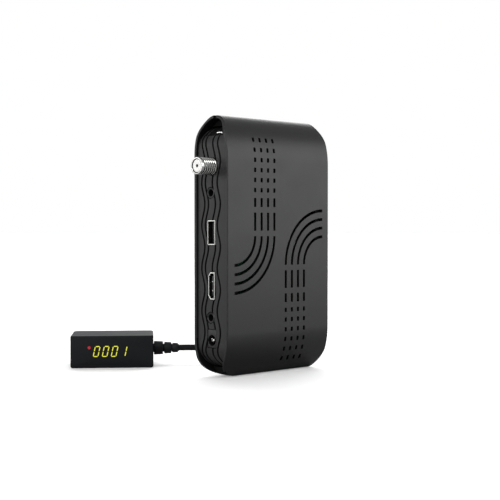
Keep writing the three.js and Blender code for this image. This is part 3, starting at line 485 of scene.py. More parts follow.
class Effects:
    """Surface effects that several finishes share, each a node group made once."""

    def __init__(self) -> None:
        """Makes the groups."""
        self.grain = self.make_grain()
        self.handling = self.make_handling()
        self.drawn = self.make_drawn()

    @staticmethod
    def shell(name: str, inputs: dict[str, float], outputs: Sequence[str]
              ) -> tuple[bpy.types.NodeTree, bpy.types.Node, bpy.types.Node]:
        """An empty group with a vector input, number inputs and number outputs.

        Args:
            name: the group's name.
            inputs: number inputs with their default values.
            outputs: number outputs.

        Returns:
            The group, its input node and its output node.
        """
        group, number = bpy.data.node_groups.new(name, "ShaderNodeTree"), "NodeSocketFloat"
        group.interface.new_socket("Vector", in_out="INPUT", socket_type="NodeSocketVector")
        for label, value in inputs.items():
            socket = group.interface.new_socket(label, in_out="INPUT", socket_type=number)
            socket.default_value = value
        for label in outputs:
            group.interface.new_socket(label, in_out="OUTPUT", socket_type=number)
        return group, group.nodes.new("NodeGroupInput"), group.nodes.new("NodeGroupOutput")

    @staticmethod
    def maths(group: bpy.types.NodeTree, how: str, a: Value, b: Value) -> bpy.types.NodeSocket:
        """A Math node on two values, each a socket or a number.

        Args:
            group: the tree that gets the node.
            how: the operation.
            a: first value.
            b: second value.

        Returns:
            The node's output.
        """
        node = group.nodes.new("ShaderNodeMath")
        node.operation = how
        for socket, value in zip(node.inputs, (a, b)):
            if isinstance(value, bpy.types.NodeSocket):
                group.links.new(value, socket)
            else:
                socket.default_value = value
        return node.outputs[0]

    @staticmethod
    def noise(group: bpy.types.NodeTree, vector: bpy.types.NodeSocket, scale: bpy.types.NodeSocket,
              detail: float, rough: float = 0.55) -> bpy.types.NodeSocket:
        """A Noise Texture on a vector.

        Args:
            group: the tree that gets the node.
            vector: the vector.
            scale: the noise's scale.
            detail: how many finer layers it has.
            rough: how strong they are.

        Returns:
            The noise's value.
        """
        node = group.nodes.new("ShaderNodeTexNoise")
        node.inputs["Detail"].default_value = detail
        node.inputs["Roughness"].default_value = rough
        group.links.new(vector, node.inputs["Vector"])
        group.links.new(scale, node.inputs["Scale"])
        return node.outputs["Fac"]

    def make_grain(self) -> bpy.types.NodeTree:
        """Spark-eroded mould texture: a fine noise for height, a coarse one for tone.

        Returns:
            The group.
        """
        group, start, end = self.shell("mould_grain", {"Scale": 2600, "Tone": 0.1},
                                       ["Height", "Shade"])
        vector = start.outputs["Vector"]
        wide = self.maths(group, "MULTIPLY", start.outputs["Scale"], 0.02)
        fine = self.noise(group, vector, start.outputs["Scale"], 3)
        coarse = self.noise(group, vector, wide, 2)
        group.links.new(fine, end.inputs["Height"])
        swing = self.maths(group, "SUBTRACT", self.maths(group, "ADD", fine, coarse), 1.0)
        shade = self.maths(group, "MULTIPLY", swing, start.outputs["Tone"])
        group.links.new(self.maths(group, "ADD", shade, 1.0), end.inputs["Shade"])
        return group

    def make_handling(self) -> bpy.types.NodeTree:
        """Faint smears of handling: (slow noise - 0.5) * amount * 2, as a change of roughness.

        Returns:
            The group.
        """
        group, start, end = self.shell("handling", {"Amount": 0.08, "Scale": 55}, ["Rough"])
        slow = self.noise(group, start.outputs["Vector"], start.outputs["Scale"], 5, 0.65)
        level = self.maths(group, "SUBTRACT", slow, 0.5)
        rough = self.maths(group, "MULTIPLY", level, start.outputs["Amount"])
        group.links.new(self.maths(group, "MULTIPLY", rough, 2.0), end.inputs["Rough"])
        return group

    def make_drawn(self) -> bpy.types.NodeTree:
        """Drawn or rolled metal: noise stretched along X, for height and tone.

        Returns:
            The group.
        """
        group, start, end = self.shell("drawn_metal", {"Scale": 900, "Tone": 0.12},
                                       ["Height", "Shade"])
        mapping = group.nodes.new("ShaderNodeMapping")
        mapping.inputs["Scale"].default_value = (0.06, 1.0, 1.0)
        group.links.new(start.outputs["Vector"], mapping.inputs["Vector"])
        lines = self.noise(group, mapping.outputs["Vector"], start.outputs["Scale"], 4)
        group.links.new(lines, end.inputs["Height"])
        swing = self.maths(group, "SUBTRACT", lines, 0.5)
        shade = self.maths(group, "MULTIPLY", swing, start.outputs["Tone"])
        group.links.new(self.maths(group, "ADD", shade, 1.0), end.inputs["Shade"])
        return group


class Recipe:
    """The nodes of one material, with its Principled shader and Object coordinates."""

    def __init__(self, name: str) -> None:
        """Makes an empty material.

        Args:
            name: its name.
        """
        self.material = bpy.data.materials.new(name)
        self.material.use_nodes = True
        self.tree = self.material.node_tree
        self.shader = self.tree.nodes["Principled BSDF"]
        self.place = self.tree.nodes.new("ShaderNodeTexCoord").outputs["Object"]

    def use(self, group: bpy.types.NodeTree, **values: float) -> bpy.types.Node:
        """Places a group with its own values.

        Args:
            group: the group.
            values: values by input name.

        Returns:
            The group node.
        """
        node = self.tree.nodes.new("ShaderNodeGroup")
        node.node_tree = group
        self.tree.links.new(self.place, node.inputs["Vector"])
        for label, value in values.items():
            node.inputs[label].default_value = value
        return node

    def set(self, **values: float | Sequence[float]) -> None:
        """Sets constants on the shader's own sockets; an underscore stands for a space."""
        for label, value in values.items():
            self.shader.inputs[label.replace("_", " ")].default_value = value

    def tint(self, colour: Colour, shade: bpy.types.NodeSocket) -> bpy.types.NodeSocket:
        """Multiplies a colour by a shade and feeds Base Color.

        Args:
            colour: the colour.
            shade: a factor round 1.

        Returns:
            The product.
        """
        node = self.tree.nodes.new("ShaderNodeVectorMath")
        node.operation = "SCALE"
        node.inputs[0].default_value = colour
        self.tree.links.new(shade, node.inputs["Scale"])
        self.tree.links.new(node.outputs[0], self.shader.inputs["Base Color"])
        return node.outputs[0]

    def rough(self, base: float, change: bpy.types.NodeSocket) -> None:
        """Feeds Roughness with a base value plus a change."""
        total = Effects.maths(self.tree, "ADD", change, base)
        self.tree.links.new(total, self.shader.inputs["Roughness"])

    def bump(self, height: bpy.types.NodeSocket, strength: float, distance: float) -> None:
        """Feeds Normal with a bump.

        Args:
            height: the height.
            strength: the bump's strength.
            distance: its depth in millimetres.
        """
        node = self.tree.nodes.new("ShaderNodeBump")
        node.inputs["Strength"].default_value = strength
        node.inputs["Distance"].default_value = distance * MM
        self.tree.links.new(height, node.inputs["Height"])
        self.tree.links.new(node.outputs["Normal"], self.shader.inputs["Normal"])


@dataclass(frozen=True)
class Plastic:
    """Moulded plastic or rubber, from matt to polished."""

    name: str
    colour: Colour
    roughness: float
    grain: float = 2600.0
    depth: float = 0.02
    strength: float = 0.35
    tone: float = 0.12
    handling: float = 0.06
    specular: float = 0.5

    def build(self, effects: Effects) -> bpy.types.Material:
        """Makes the material.

        Args:
            effects: the shared groups.

        Returns:
            The material.
        """
        recipe = Recipe(self.name)
        grain = recipe.use(effects.grain, Scale=self.grain, Tone=self.tone)
        smears = recipe.use(effects.handling, Amount=self.handling)
        recipe.tint(self.colour, grain.outputs["Shade"])
        recipe.rough(self.roughness, smears.outputs["Rough"])
        recipe.bump(grain.outputs["Height"], self.strength, self.depth)
        recipe.set(Specular_IOR_Level=self.specular)
        return recipe.material


@dataclass(frozen=True)
class Metal:
    """Plated, drawn or cast metal."""

    name: str
    colour: Colour
    roughness: float
    scale: float = 900.0
    depth: float = 0.01
    tone: float = 0.12

    def build(self, effects: Effects) -> bpy.types.Material:
        """Makes the material.

        Args:
            effects: the shared groups.

        Returns:
            The material.
        """
        recipe = Recipe(self.name)
        lines = recipe.use(effects.drawn, Scale=self.scale, Tone=self.tone)
        smears = recipe.use(effects.handling, Amount=0.05, Scale=90)
        recipe.tint(self.colour, lines.outputs["Shade"])
        recipe.rough(self.roughness, smears.outputs["Rough"])
        recipe.bump(lines.outputs["Height"], 0.25, self.depth)
        recipe.set(Metallic=1.0)
        return recipe.material


@dataclass(frozen=True)
class Glow:
    """A lit lens or segment: coloured plastic with its own light."""

    name: str
    colour: Colour
    light: Colour
    power: float
    roughness: float = 0.3

    def build(self, effects: Effects) -> bpy.types.Material:
        """Makes the material, its light slightly uneven over the surface.

        Args:
            effects: the shared groups.

        Returns:
            The material.
        """
        recipe = Recipe(self.name)
        grain = recipe.use(effects.grain, Scale=900.0, Tone=0.25)
        recipe.tint(self.colour, grain.outputs["Shade"])
        glow = recipe.tree.nodes.new("ShaderNodeVectorMath")
        glow.operation = "SCALE"
        glow.inputs[0].default_value = self.light
        recipe.tree.links.new(grain.outputs["Shade"], glow.inputs["Scale"])
        recipe.tree.links.new(glow.outputs[0], recipe.shader.inputs["Emission Color"])
        recipe.set(Emission_Strength=self.power, Roughness=self.roughness)
        return recipe.material


@dataclass(frozen=True)
class CircuitBoard:
    """Green solder mask with copper runs under it, which show lighter."""

    name: str
    mask: Colour = (0.015, 0.09, 0.045)
    pitch: float = 420.0

    def build(self, effects: Effects) -> bpy.types.Material:
        """Makes the material.

        Args:
            effects: the shared groups.

        Returns:
            The material.
        """
        recipe = Recipe(self.name)
        grain = recipe.use(effects.grain, Scale=1500.0, Tone=0.2)
        tiles = recipe.tree.nodes.new("ShaderNodeTexVoronoi")
        tiles.distance = "CHEBYCHEV"
        tiles.inputs["Scale"].default_value = self.pitch
        recipe.tree.links.new(recipe.place, tiles.inputs["Vector"])
        runs = Effects.maths(recipe.tree, "GREATER_THAN", tiles.outputs["Distance"], 0.42)
        lift = Effects.maths(recipe.tree, "MULTIPLY", runs, 0.6)
        shade = Effects.maths(recipe.tree, "ADD", lift, grain.outputs["Shade"])
        recipe.tint(self.mask, shade)
        recipe.bump(runs, 0.3, 0.03)
        recipe.set(Roughness=0.35, Coat_Weight=0.3)
        return recipe.material


@dataclass(frozen=True)
class FloorSheet:
    """A pale matt sheet that the camera sees white, with its shadow kept."""

    name: str = "floor_sheet"
    tone: float = 0.52
    to_camera: float = 0.4
    in_shine: float = 0.3
    glow: float = 0.2

    def build(self) -> bpy.types.Material:
        """Makes the material: tone + to_camera on camera rays - in_shine on glossy rays.

        Returns:
            The material.
        """
        recipe = Recipe(self.name)
        tree = recipe.tree
        rays = tree.nodes.new("ShaderNodeLightPath")
        seen = rays.outputs["Is Camera Ray"]
        lighter = Effects.maths(tree, "MULTIPLY", seen, self.to_camera)
        plain = Effects.maths(tree, "ADD", lighter, self.tone)
        darker = Effects.maths(tree, "MULTIPLY", rays.outputs["Is Glossy Ray"], self.in_shine)
        pale = Effects.maths(tree, "SUBTRACT", plain, darker)
        glow = Effects.maths(tree, "MULTIPLY", seen, self.glow)
        tree.links.new(pale, recipe.shader.inputs["Base Color"])
        tree.links.new(glow, recipe.shader.inputs["Emission Strength"])
        recipe.set(Roughness=0.9, Specular_IOR_Level=0.1, Emission_Color=(1, 1, 1, 1))
        return recipe.material


class Finishes:
    """Every material of the object, built once."""

    def __init__(self) -> None:
        """Makes the shared effects and the materials."""
        fx = Effects()
        self.shell = Plastic("shell_plastic", (0.011, 0.011, 0.0115), 0.37, tone=0.1,
                             specular=0.42).build(fx)
        self.panel = Plastic("panel_plastic", (0.015, 0.015, 0.0155), 0.46, tone=0.1).build(fx)
        # Near-black with little gloss: painted shade for the faces inside holes, grooves, slots and
        # housings.
        self.recess = Plastic("painted_shade_plastic", (0.003, 0.003, 0.003), 0.75,
                              specular=0.12).build(fx)
        self.black = Plastic("black_plastic", (0.008, 0.008, 0.009), 0.4).build(fx)
        self.chip = Plastic("chip_plastic", (0.012, 0.012, 0.013), 0.55, grain=4000.0).build(fx)
        self.white = Plastic("white_plastic", (0.93, 0.92, 0.9), 0.3, tone=0.03).build(fx)
        self.rubber = Plastic("rubber", (0.014, 0.014, 0.015), 0.62, grain=1800.0,
                              depth=0.04).build(fx)
        self.relief = Plastic("relief_rubber", (0.009, 0.01, 0.011), 0.55, grain=1800.0,
                              specular=0.25).build(fx)
        self.jacket = Plastic("cord_jacket", (0.008, 0.009, 0.01), 0.6, grain=1500.0, tone=0.2,
                              specular=0.15).build(fx)
        self.display = Plastic("display_plastic", (0.016, 0.018, 0.02), 0.42, strength=0.2,
                               tone=0.08, specular=0.3).build(fx)
        self.window = Plastic("smoked_window", (0.0105, 0.0118, 0.0132), 0.14, strength=0.02,
                              tone=0.05, handling=0.03, specular=0.22).build(fx)
        self.module = Plastic("digit_grey", (0.02, 0.021, 0.018), 0.45).build(fx)
        self.nickel = Metal("nickel", (0.86, 0.86, 0.84), 0.17).build(fx)
        self.tin = Metal("tin_plate", (0.86, 0.86, 0.83), 0.3, tone=0.16).build(fx)
        # Dark metal that paints shade into the aerial socket's thread roots and bore.
        self.root = Metal("painted_shade_thread", (0.07, 0.07, 0.065), 0.4).build(fx)
        self.steel = Metal("steel", (0.5, 0.5, 0.5), 0.34).build(fx)
        self.brass = Metal("brass", (0.72, 0.52, 0.2), 0.28).build(fx)
        self.aluminium = Metal("aluminium", (0.36, 0.37, 0.38), 0.5).build(fx)
        self.board = CircuitBoard("board").build(fx)
        self.light = Glow("clear_light", (0.9, 0.9, 0.9), (1.0, 1.0, 1.0), 0.75).build(fx)
        self.lamp = Glow("lamp_red", (0.4, 0.012, 0.02), (0.9, 0.02, 0.05), 0.16).build(fx)
        self.segment = Glow("segment_yellow", (0.4, 0.38, 0.04), (0.78, 0.76, 0.05), 0.8).build(fx)
        self.stage = FloorSheet().build()


@dataclass(frozen=True)
class Studio:
    """Camera, floor and lights.

    Attributes:
        azimuth: where the camera stands, from the vented face's side, in degrees.
        elevation: how far it looks down, in degrees.
        focal_share: focal length as a share of the picture's width.
        fill: the world's light on the object.
        shine: the world's brightness in reflections.
        aim: the point that the soft lights look at, in metres.
        lamps: the soft lights, each with its name, place and side in metres, and power in watts.
    """

    azimuth: float = -44.45
    elevation: float = 1.16
    place: tuple[float, float, float] = (-455.35, -453.6, 82.03)
    focal_share: float = 1133.5 / 500
    sensor: float = 36.0
    fill: float = 0.2
    shine: float = 0.45
    overhead_tilt: tuple[float, float, float] = (50, 0, 135)
    overhead_power: float = 3.6
    overhead_spread: float = 66
    aim: tuple[float, float, float] = (0, 0, 0.07)
    lamps: tuple[tuple[str, tuple[float, float, float], float, float], ...] = (
        ("face_light", (0.66, -0.8, 0.25), 0.7, 3.9),
        ("panel_light", (-0.95, 0.95, 0.22), 0.7, 2.1),
        ("end_light", (-1.2, -0.3, 0.45), 0.6, 7),
        ("ridge_light", (0.9, 0.6, 0.62), 0.45, 1.8),
        ("socket_light", (-0.45, -0.6, 0.95), 0.6, 3.3))
    floor_reach: float = 12000.0
    floor_drop: float = 0.02
    floor_thickness: float = 5.98

    def camera(self) -> None:
        """Stands the camera where the photograph was taken from."""
        a, e = math.radians(self.azimuth), math.radians(self.elevation)
        back = Vector((math.sin(a) * math.cos(e), -math.cos(a) * math.cos(e), math.sin(e)))
        right = Vector((math.cos(a), math.sin(a), 0))
        turn = Matrix((right, back.cross(right), back)).transposed().to_4x4()
        data = bpy.data.cameras.new("camera")
        data.sensor_width, data.lens = self.sensor, self.sensor * self.focal_share
        data.clip_start, data.clip_end = 0.01, 50
        camera = bpy.data.objects.new("camera", data)
        camera.matrix_world = Matrix.Translation(Vector(self.place) * MM) @ turn
        bpy.context.scene.collection.objects.link(camera)
        bpy.context.scene.camera = camera

    def lamp(self, name: str, place: Sequence[float], size: float, power: float) -> None:
        """A square soft light that looks at the receiver's middle.

        Args:
            name: its name.
            place: its place in metres.
            size: its side in metres.
            power: its power in watts.
        """
        data = bpy.data.lights.new(name, "AREA")
        data.size, data.energy = size, power
        lamp = bpy.data.objects.new(name, data)
        lamp.location = place
        ahead = Vector(self.aim) - Vector(place)
        lamp.rotation_euler = ahead.to_track_quat("-Z", "Y").to_euler()
        bpy.context.scene.collection.objects.link(lamp)

    def overhead(self) -> None:
        """A distant soft light that lights the whole floor alike and leaves no glint."""
        data = bpy.data.lights.new("overhead", "SUN")
        data.energy, data.angle = self.overhead_power, math.radians(self.overhead_spread)
        lamp = bpy.data.objects.new("overhead", data)
        lamp.rotation_euler = [math.radians(angle) for angle in self.overhead_tilt]
        lamp.visible_glossy = False
        bpy.context.scene.collection.objects.link(lamp)

    def world(self) -> None:
        """White behind the object, dimmer in its reflections, and a weaker fill on it."""
        world = bpy.data.worlds.new("studio")
        bpy.context.scene.world = world
        world.use_nodes = True
        tree = world.node_tree
        rays = tree.nodes.new("ShaderNodeLightPath").outputs
        seen = Effects.maths(tree, "MAXIMUM", rays["Is Camera Ray"], rays["Is Transmission Ray"])
        mirrored = Effects.maths(tree, "MULTIPLY", rays["Is Glossy Ray"], self.shine)
        shown = Effects.maths(tree, "MAXIMUM", seen, mirrored)
        level = Effects.maths(tree, "MAXIMUM", shown, self.fill)
        sky = tree.nodes["Background"]
        sky.inputs["Color"].default_value = (1, 1, 1, 1)
        tree.links.new(level, sky.inputs["Strength"])

    def floor(self, finish: bpy.types.Material) -> None:
        """A wide sheet with round corners, just under the object.

        Args:
            finish: its material.
        """
        reach, top = self.floor_reach, -self.floor_drop
        outline = rounded(-reach, -reach, reach, reach, reach * 0.4, 12)
        sheet = Piece("floor", prism(outline, top - self.floor_thickness, top, Axis.Z)).object
        sheet.data.materials.append(finish)
        sheet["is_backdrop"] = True

    def lights(self) -> None:
        """Soft light from above and from both sides."""
        self.world()
        self.overhead()
        for lamp in self.lamps:
            self.lamp(*lamp)
        bpy.context.scene.view_settings.view_transform = "Standard"


@dataclass(frozen=True)
class Assembly:
    """A sub-assembly that wears the shared finishes."""

    finishes: Finishes

    def build(self) -> None:
        """Makes the sub-assembly's pieces."""
        raise NotImplementedError


@dataclass(frozen=True)
class Lead(Assembly):
    """The display's lead: one cord, straight down to the surface, coiled, and on to its plug."""

    diameter: float = 3.6
    fit: float = 0.3
    display_place: tuple[float, float] = (-51.8, 72.5)
    display_turn: float = -39.4
    relief_out: float = 39.5
    relief_aside: float = 17.0
    relief_height: float = 9.8
    level: float = 7.0
    fall: float = 39.0
    low: float = 5.6
    step: float = 3.0
    turns_in: float = 4.0
    turns_out: float = 4.25
    bend: float = 0.08
    middle: float = 20.0
    pitch: float = 4.15
    rise: float = 0.9
    turn_steps: int = 24
    tie_thickness: float = 0.6
    tie_width: float = 5.0
    tie_turn: float = 200.0
    tail: float = 46.0
    tail_radius: float = 38.0
    tail_steps: int = 14
    plug_radius: float = 3.6
    plug_neck: float = 5.0
    plug_length: float = 16.0
    rib_start: float = 3.5
    rib_end: float = 9.5
    rib_pitch: float = 2.0
    rib_depth: float = 0.3
    pin_radius: float = 1.75
    pin_length: float = 14.0
    pin_rings: tuple[float, ...] = (6.6, 3.9)

    def ahead(self) -> Array:
        """Direction in which the lead leaves the display box."""
        turn = math.radians(self.display_turn)
        return np.array([math.cos(turn), math.sin(turn), 0.0])

    def aside(self) -> Array:
        """Direction to the left of the lead."""
        x, y, _ = self.ahead()
        return np.array([-y, x, 0.0])

    def at(self, along: Array, height: Array) -> Array:
        """Points of the straight part.

        Args:
            along: distances from the strain relief.
            height: heights above the surface.

        Returns:
            The points.
        """
        start = np.array([*self.display_place, 0.0]) + self.aside() * self.relief_aside
        out = self.relief_out + self.fit + np.atleast_1d(along)[:, None]
        up = np.atleast_1d(height)[:, None] * np.array([0.0, 0.0, 1.0])
        return start + out * self.ahead() + up

    @staticmethod
    def smooth(value: Array, low: float, high: float) -> Array:
        """3 t^2 - 2 t^3 for t from 0 at low to 1 at high."""
        t = np.clip((value - low) / (high - low), 0, 1)
        return t * t * (3 - 2 * t)

    def coil_height(self) -> float:
        """Height of the coil's lower layer."""
        return self.rise + self.diameter / 2

    def coil_outer(self) -> float:
        """Radius of the coil's outermost turn."""
        return self.middle + self.pitch * self.turns_in / 2

    def coil_radius(self, turns: Array) -> Array:
        """Outer radius less the pitch times the turns gone in, and back out past the middle."""
        inwards = self.turns_in - np.hypot(turns - self.turns_in, self.bend)
        return self.coil_outer() - self.pitch * inwards

    def coil_centre(self) -> Array:
        """Middle of the coil on the surface, to the left of where the lead has come down."""
        reach = self.level + self.fall + self.low + self.fit + self.diameter
        return self.at(np.array(reach), np.array(0.0))[0] + self.coil_outer() * self.aside()

    def start_angle(self) -> float:
        """Angle round the coil's middle at which it starts."""
        x, y, _ = -self.aside()
        return math.atan2(y, x)

    def route(self) -> Array:
        """The whole centreline, stretch by stretch: lead, coil and tail.

        Returns:
            The line's points.
        """
        reach = self.level + self.fall + self.low
        along = np.linspace(0, reach, round(reach / self.step) + 1)
        fallen = self.smooth(along, self.level, self.level + self.fall)
        drop = self.coil_height() - self.relief_height
        lead = self.at(along, self.relief_height + drop * fallen)
        total = self.turns_in + self.turns_out
        turns = np.linspace(0, total, round(total * self.turn_steps) + 1)
        angle = self.start_angle() + 2 * np.pi * turns
        radius = self.coil_radius(turns)
        climb = self.smooth(turns, self.turns_in - 0.25, self.turns_in + 0.25)
        height = self.coil_height() + self.pitch * climb
        coil = self.coil_centre() + np.stack(
            [radius * np.cos(angle), radius * np.sin(angle), height], -1)
        first = coil[:1] - self.ahead() * self.diameter
        onward = (coil[-1] - coil[-2]) / np.linalg.norm(coil[-1] - coil[-2])
        last = coil[-1:] + onward * self.diameter
        return np.concatenate([lead[:-1], first, coil, last, self.tail_points(last[0], onward)])

    def tail_points(self, end: Array, onward: Array) -> Array:
        """The tail: equal steps whose heading turns at the tail's radius while it sinks.

        Args:
            end: the coil's last point.
            onward: the coil's last direction.

        Returns:
            The tail's points.
        """
        step = self.tail / self.tail_steps
        count = np.arange(1, self.tail_steps + 1)
        bend = np.clip((count - 1.5) * step, 0, self.tail - 3 * step) / self.tail_radius
        heading = math.atan2(onward[1], onward[0]) + bend
        flat = np.cumsum(step * np.stack([np.cos(heading), np.sin(heading)], -1), axis=0)
        start = end + onward * self.fit
        fallen = self.smooth(count.astype(float), 1, self.tail_steps - 1)
        height = start[2] + (self.plug_radius - start[2]) * fallen
        return np.concatenate([start[:2] + flat, height[:, None]], -1)

    @staticmethod
    def refined(points: Array, times: int) -> Array:
        """A smooth line through points: p(t) of Catmull and Rom between each two.

        Args:
            points: the points.
            times: new points for each old one.

        Returns:
            The finer line.
        """
        before = np.concatenate([points[:1], points[:-2]])
        after = np.concatenate([points[2:], points[-1:]])
        p0, p1, p2, p3 = (group[:, None] for group in (before, points[:-1], points[1:], after))
        t = (np.arange(times) / times)[None, :, None]
        line = 0.5 * (2 * p1 + (p2 - p0) * t + (2 * p0 - 5 * p1 + 4 * p2 - p3) * t ** 2
                      + (3 * p1 - p0 - 3 * p2 + p3) * t ** 3)
        return np.concatenate([line.reshape(-1, 3), points[-1:]])

    def tube(self, route: Array, sides: int = 14) -> Solid:
        """A round tube on a line: P(i, j) = p(i) + r (cos a side(i) + sin a up(i)).

        Args:
            route: the centreline.
            sides: sides of the tube.

        Returns:
            The closed tube.
        """
        ahead = np.gradient(route, axis=0)
        ahead /= np.linalg.norm(ahead, axis=1, keepdims=True)
        side = np.cross([0.0, 0.0, 1.0], ahead)
        side /= np.linalg.norm(side, axis=1, keepdims=True)
        up = np.cross(ahead, side)
        a = (2 * np.pi * np.arange(sides) / sides)[None, :, None]
        spokes = np.cos(a) * side[:, None] + np.sin(a) * up[:, None]
        return lofted(route[:, None] + self.diameter / 2 * spokes)

    def plug(self, end: Array, onward: Array) -> list[bpy.types.Object]:
        """A moulded grip with ribs, and a pin with two insulating rings and a tip.

        Args:
            end: the cord's last point.
            onward: its last direction.

        Returns:
            The grip and the pin.
        """
        heading = math.degrees(math.atan2(onward[1], onward[0]))
        place = end + onward * self.fit
        r, neck = self.plug_radius, self.plug_neck
        far = neck + self.plug_length
        ribs = np.linspace(neck + self.rib_start, neck + self.rib_end, 25)
        wave = 0.5 - 0.5 * np.cos(2 * np.pi * (ribs - ribs[0]) / self.rib_pitch)
        ribbed = np.stack([ribs, r - self.rib_depth * wave], -1)
        body = np.concatenate([
            [[0, 0], [0, 2.1], [0.3, 2.4], [neck * 0.6, 2.5], [neck, 2.64],
             [neck * 1.2, r * 0.93], [neck * 1.4, r]], ribbed,
            [[far - 1.4, r], [far - 0.6, r * 0.985], [far, r * 0.9], [far, 0]]])
        p, start = self.pin_radius, far + self.fit
        tip = start + self.pin_length
        rings = [x for ring in self.pin_rings for x in (
            [tip - ring, p], [tip - ring + 0.05, p * 0.95], [tip - ring + 0.45, p * 0.95],
            [tip - ring + 0.5, p])]
        pin = np.array([[start, 0], [start, p], *rings, [tip - 2.5, p], [tip - 2.1, p * 0.76],
                        [tip - 1.5, p * 0.97], [tip - 0.5, p * 0.62], [tip - 0.1, p * 0.34],
                        [tip, 0]])
        grip = turned(body, Axis.X, (0, 0), 40).turned_about_z(heading).moved(*place)
        spike = turned(pin, Axis.X, (0, 0), 32).turned_about_z(heading).moved(*place)
        return [Piece("plug_grip", grip).finish(
                    self.finishes.rubber, "rubber", "display_plug_body", smooth=40),
                Piece("plug_pin", spike).finish(
                    self.finishes.nickel, "nickel", "display_plug_pin", smooth=25)]

    def tie(self) -> bpy.types.Object:
        """A strap round the coil's turns: a rounded loop in the plane across them.

        Returns:
            The strap.
        """
        turn = self.tie_turn / 360
        count = math.floor(self.turns_in + self.turns_out - turn) + 1
        passes = self.coil_radius(turn + np.arange(count))
        reach = self.diameter / 2 + self.fit
        inner, outer = passes.min() - reach, passes.max() + reach
        top = self.coil_height() + self.pitch + reach
        t = self.tie_thickness
        outline = rounded(inner - t, 0, outer + t, top + t, 2.2, 6)
        inside = rounded(inner, t, outer, top, 1.6, 6)
        strap = sleeve_ring(outline, inside, -self.tie_width / 2, self.tie_width / 2, Axis.Y)
        strap = strap.turned_about_z(math.degrees(self.start_angle()) + self.tie_turn)
        strap = strap.moved(*self.coil_centre())
        return Piece("coil_strap", strap).finish(
            self.finishes.rubber, "rubber", "coil_tie", smooth=32, bevel=0.12)

    def build(self) -> None:
        route = self.route()
        cord = Piece("display_lead", self.tube(self.refined(route, 2))).finish(
            self.finishes.jacket, "cord_jacket", "display_cord", "display_cord_coil",
            "display_cord_tail", smooth=60)
        onward = (route[-1] - route[-2]) / np.linalg.norm(route[-1] - route[-2])
        pieces = [*self.plug(route[-1], onward), self.tie()]


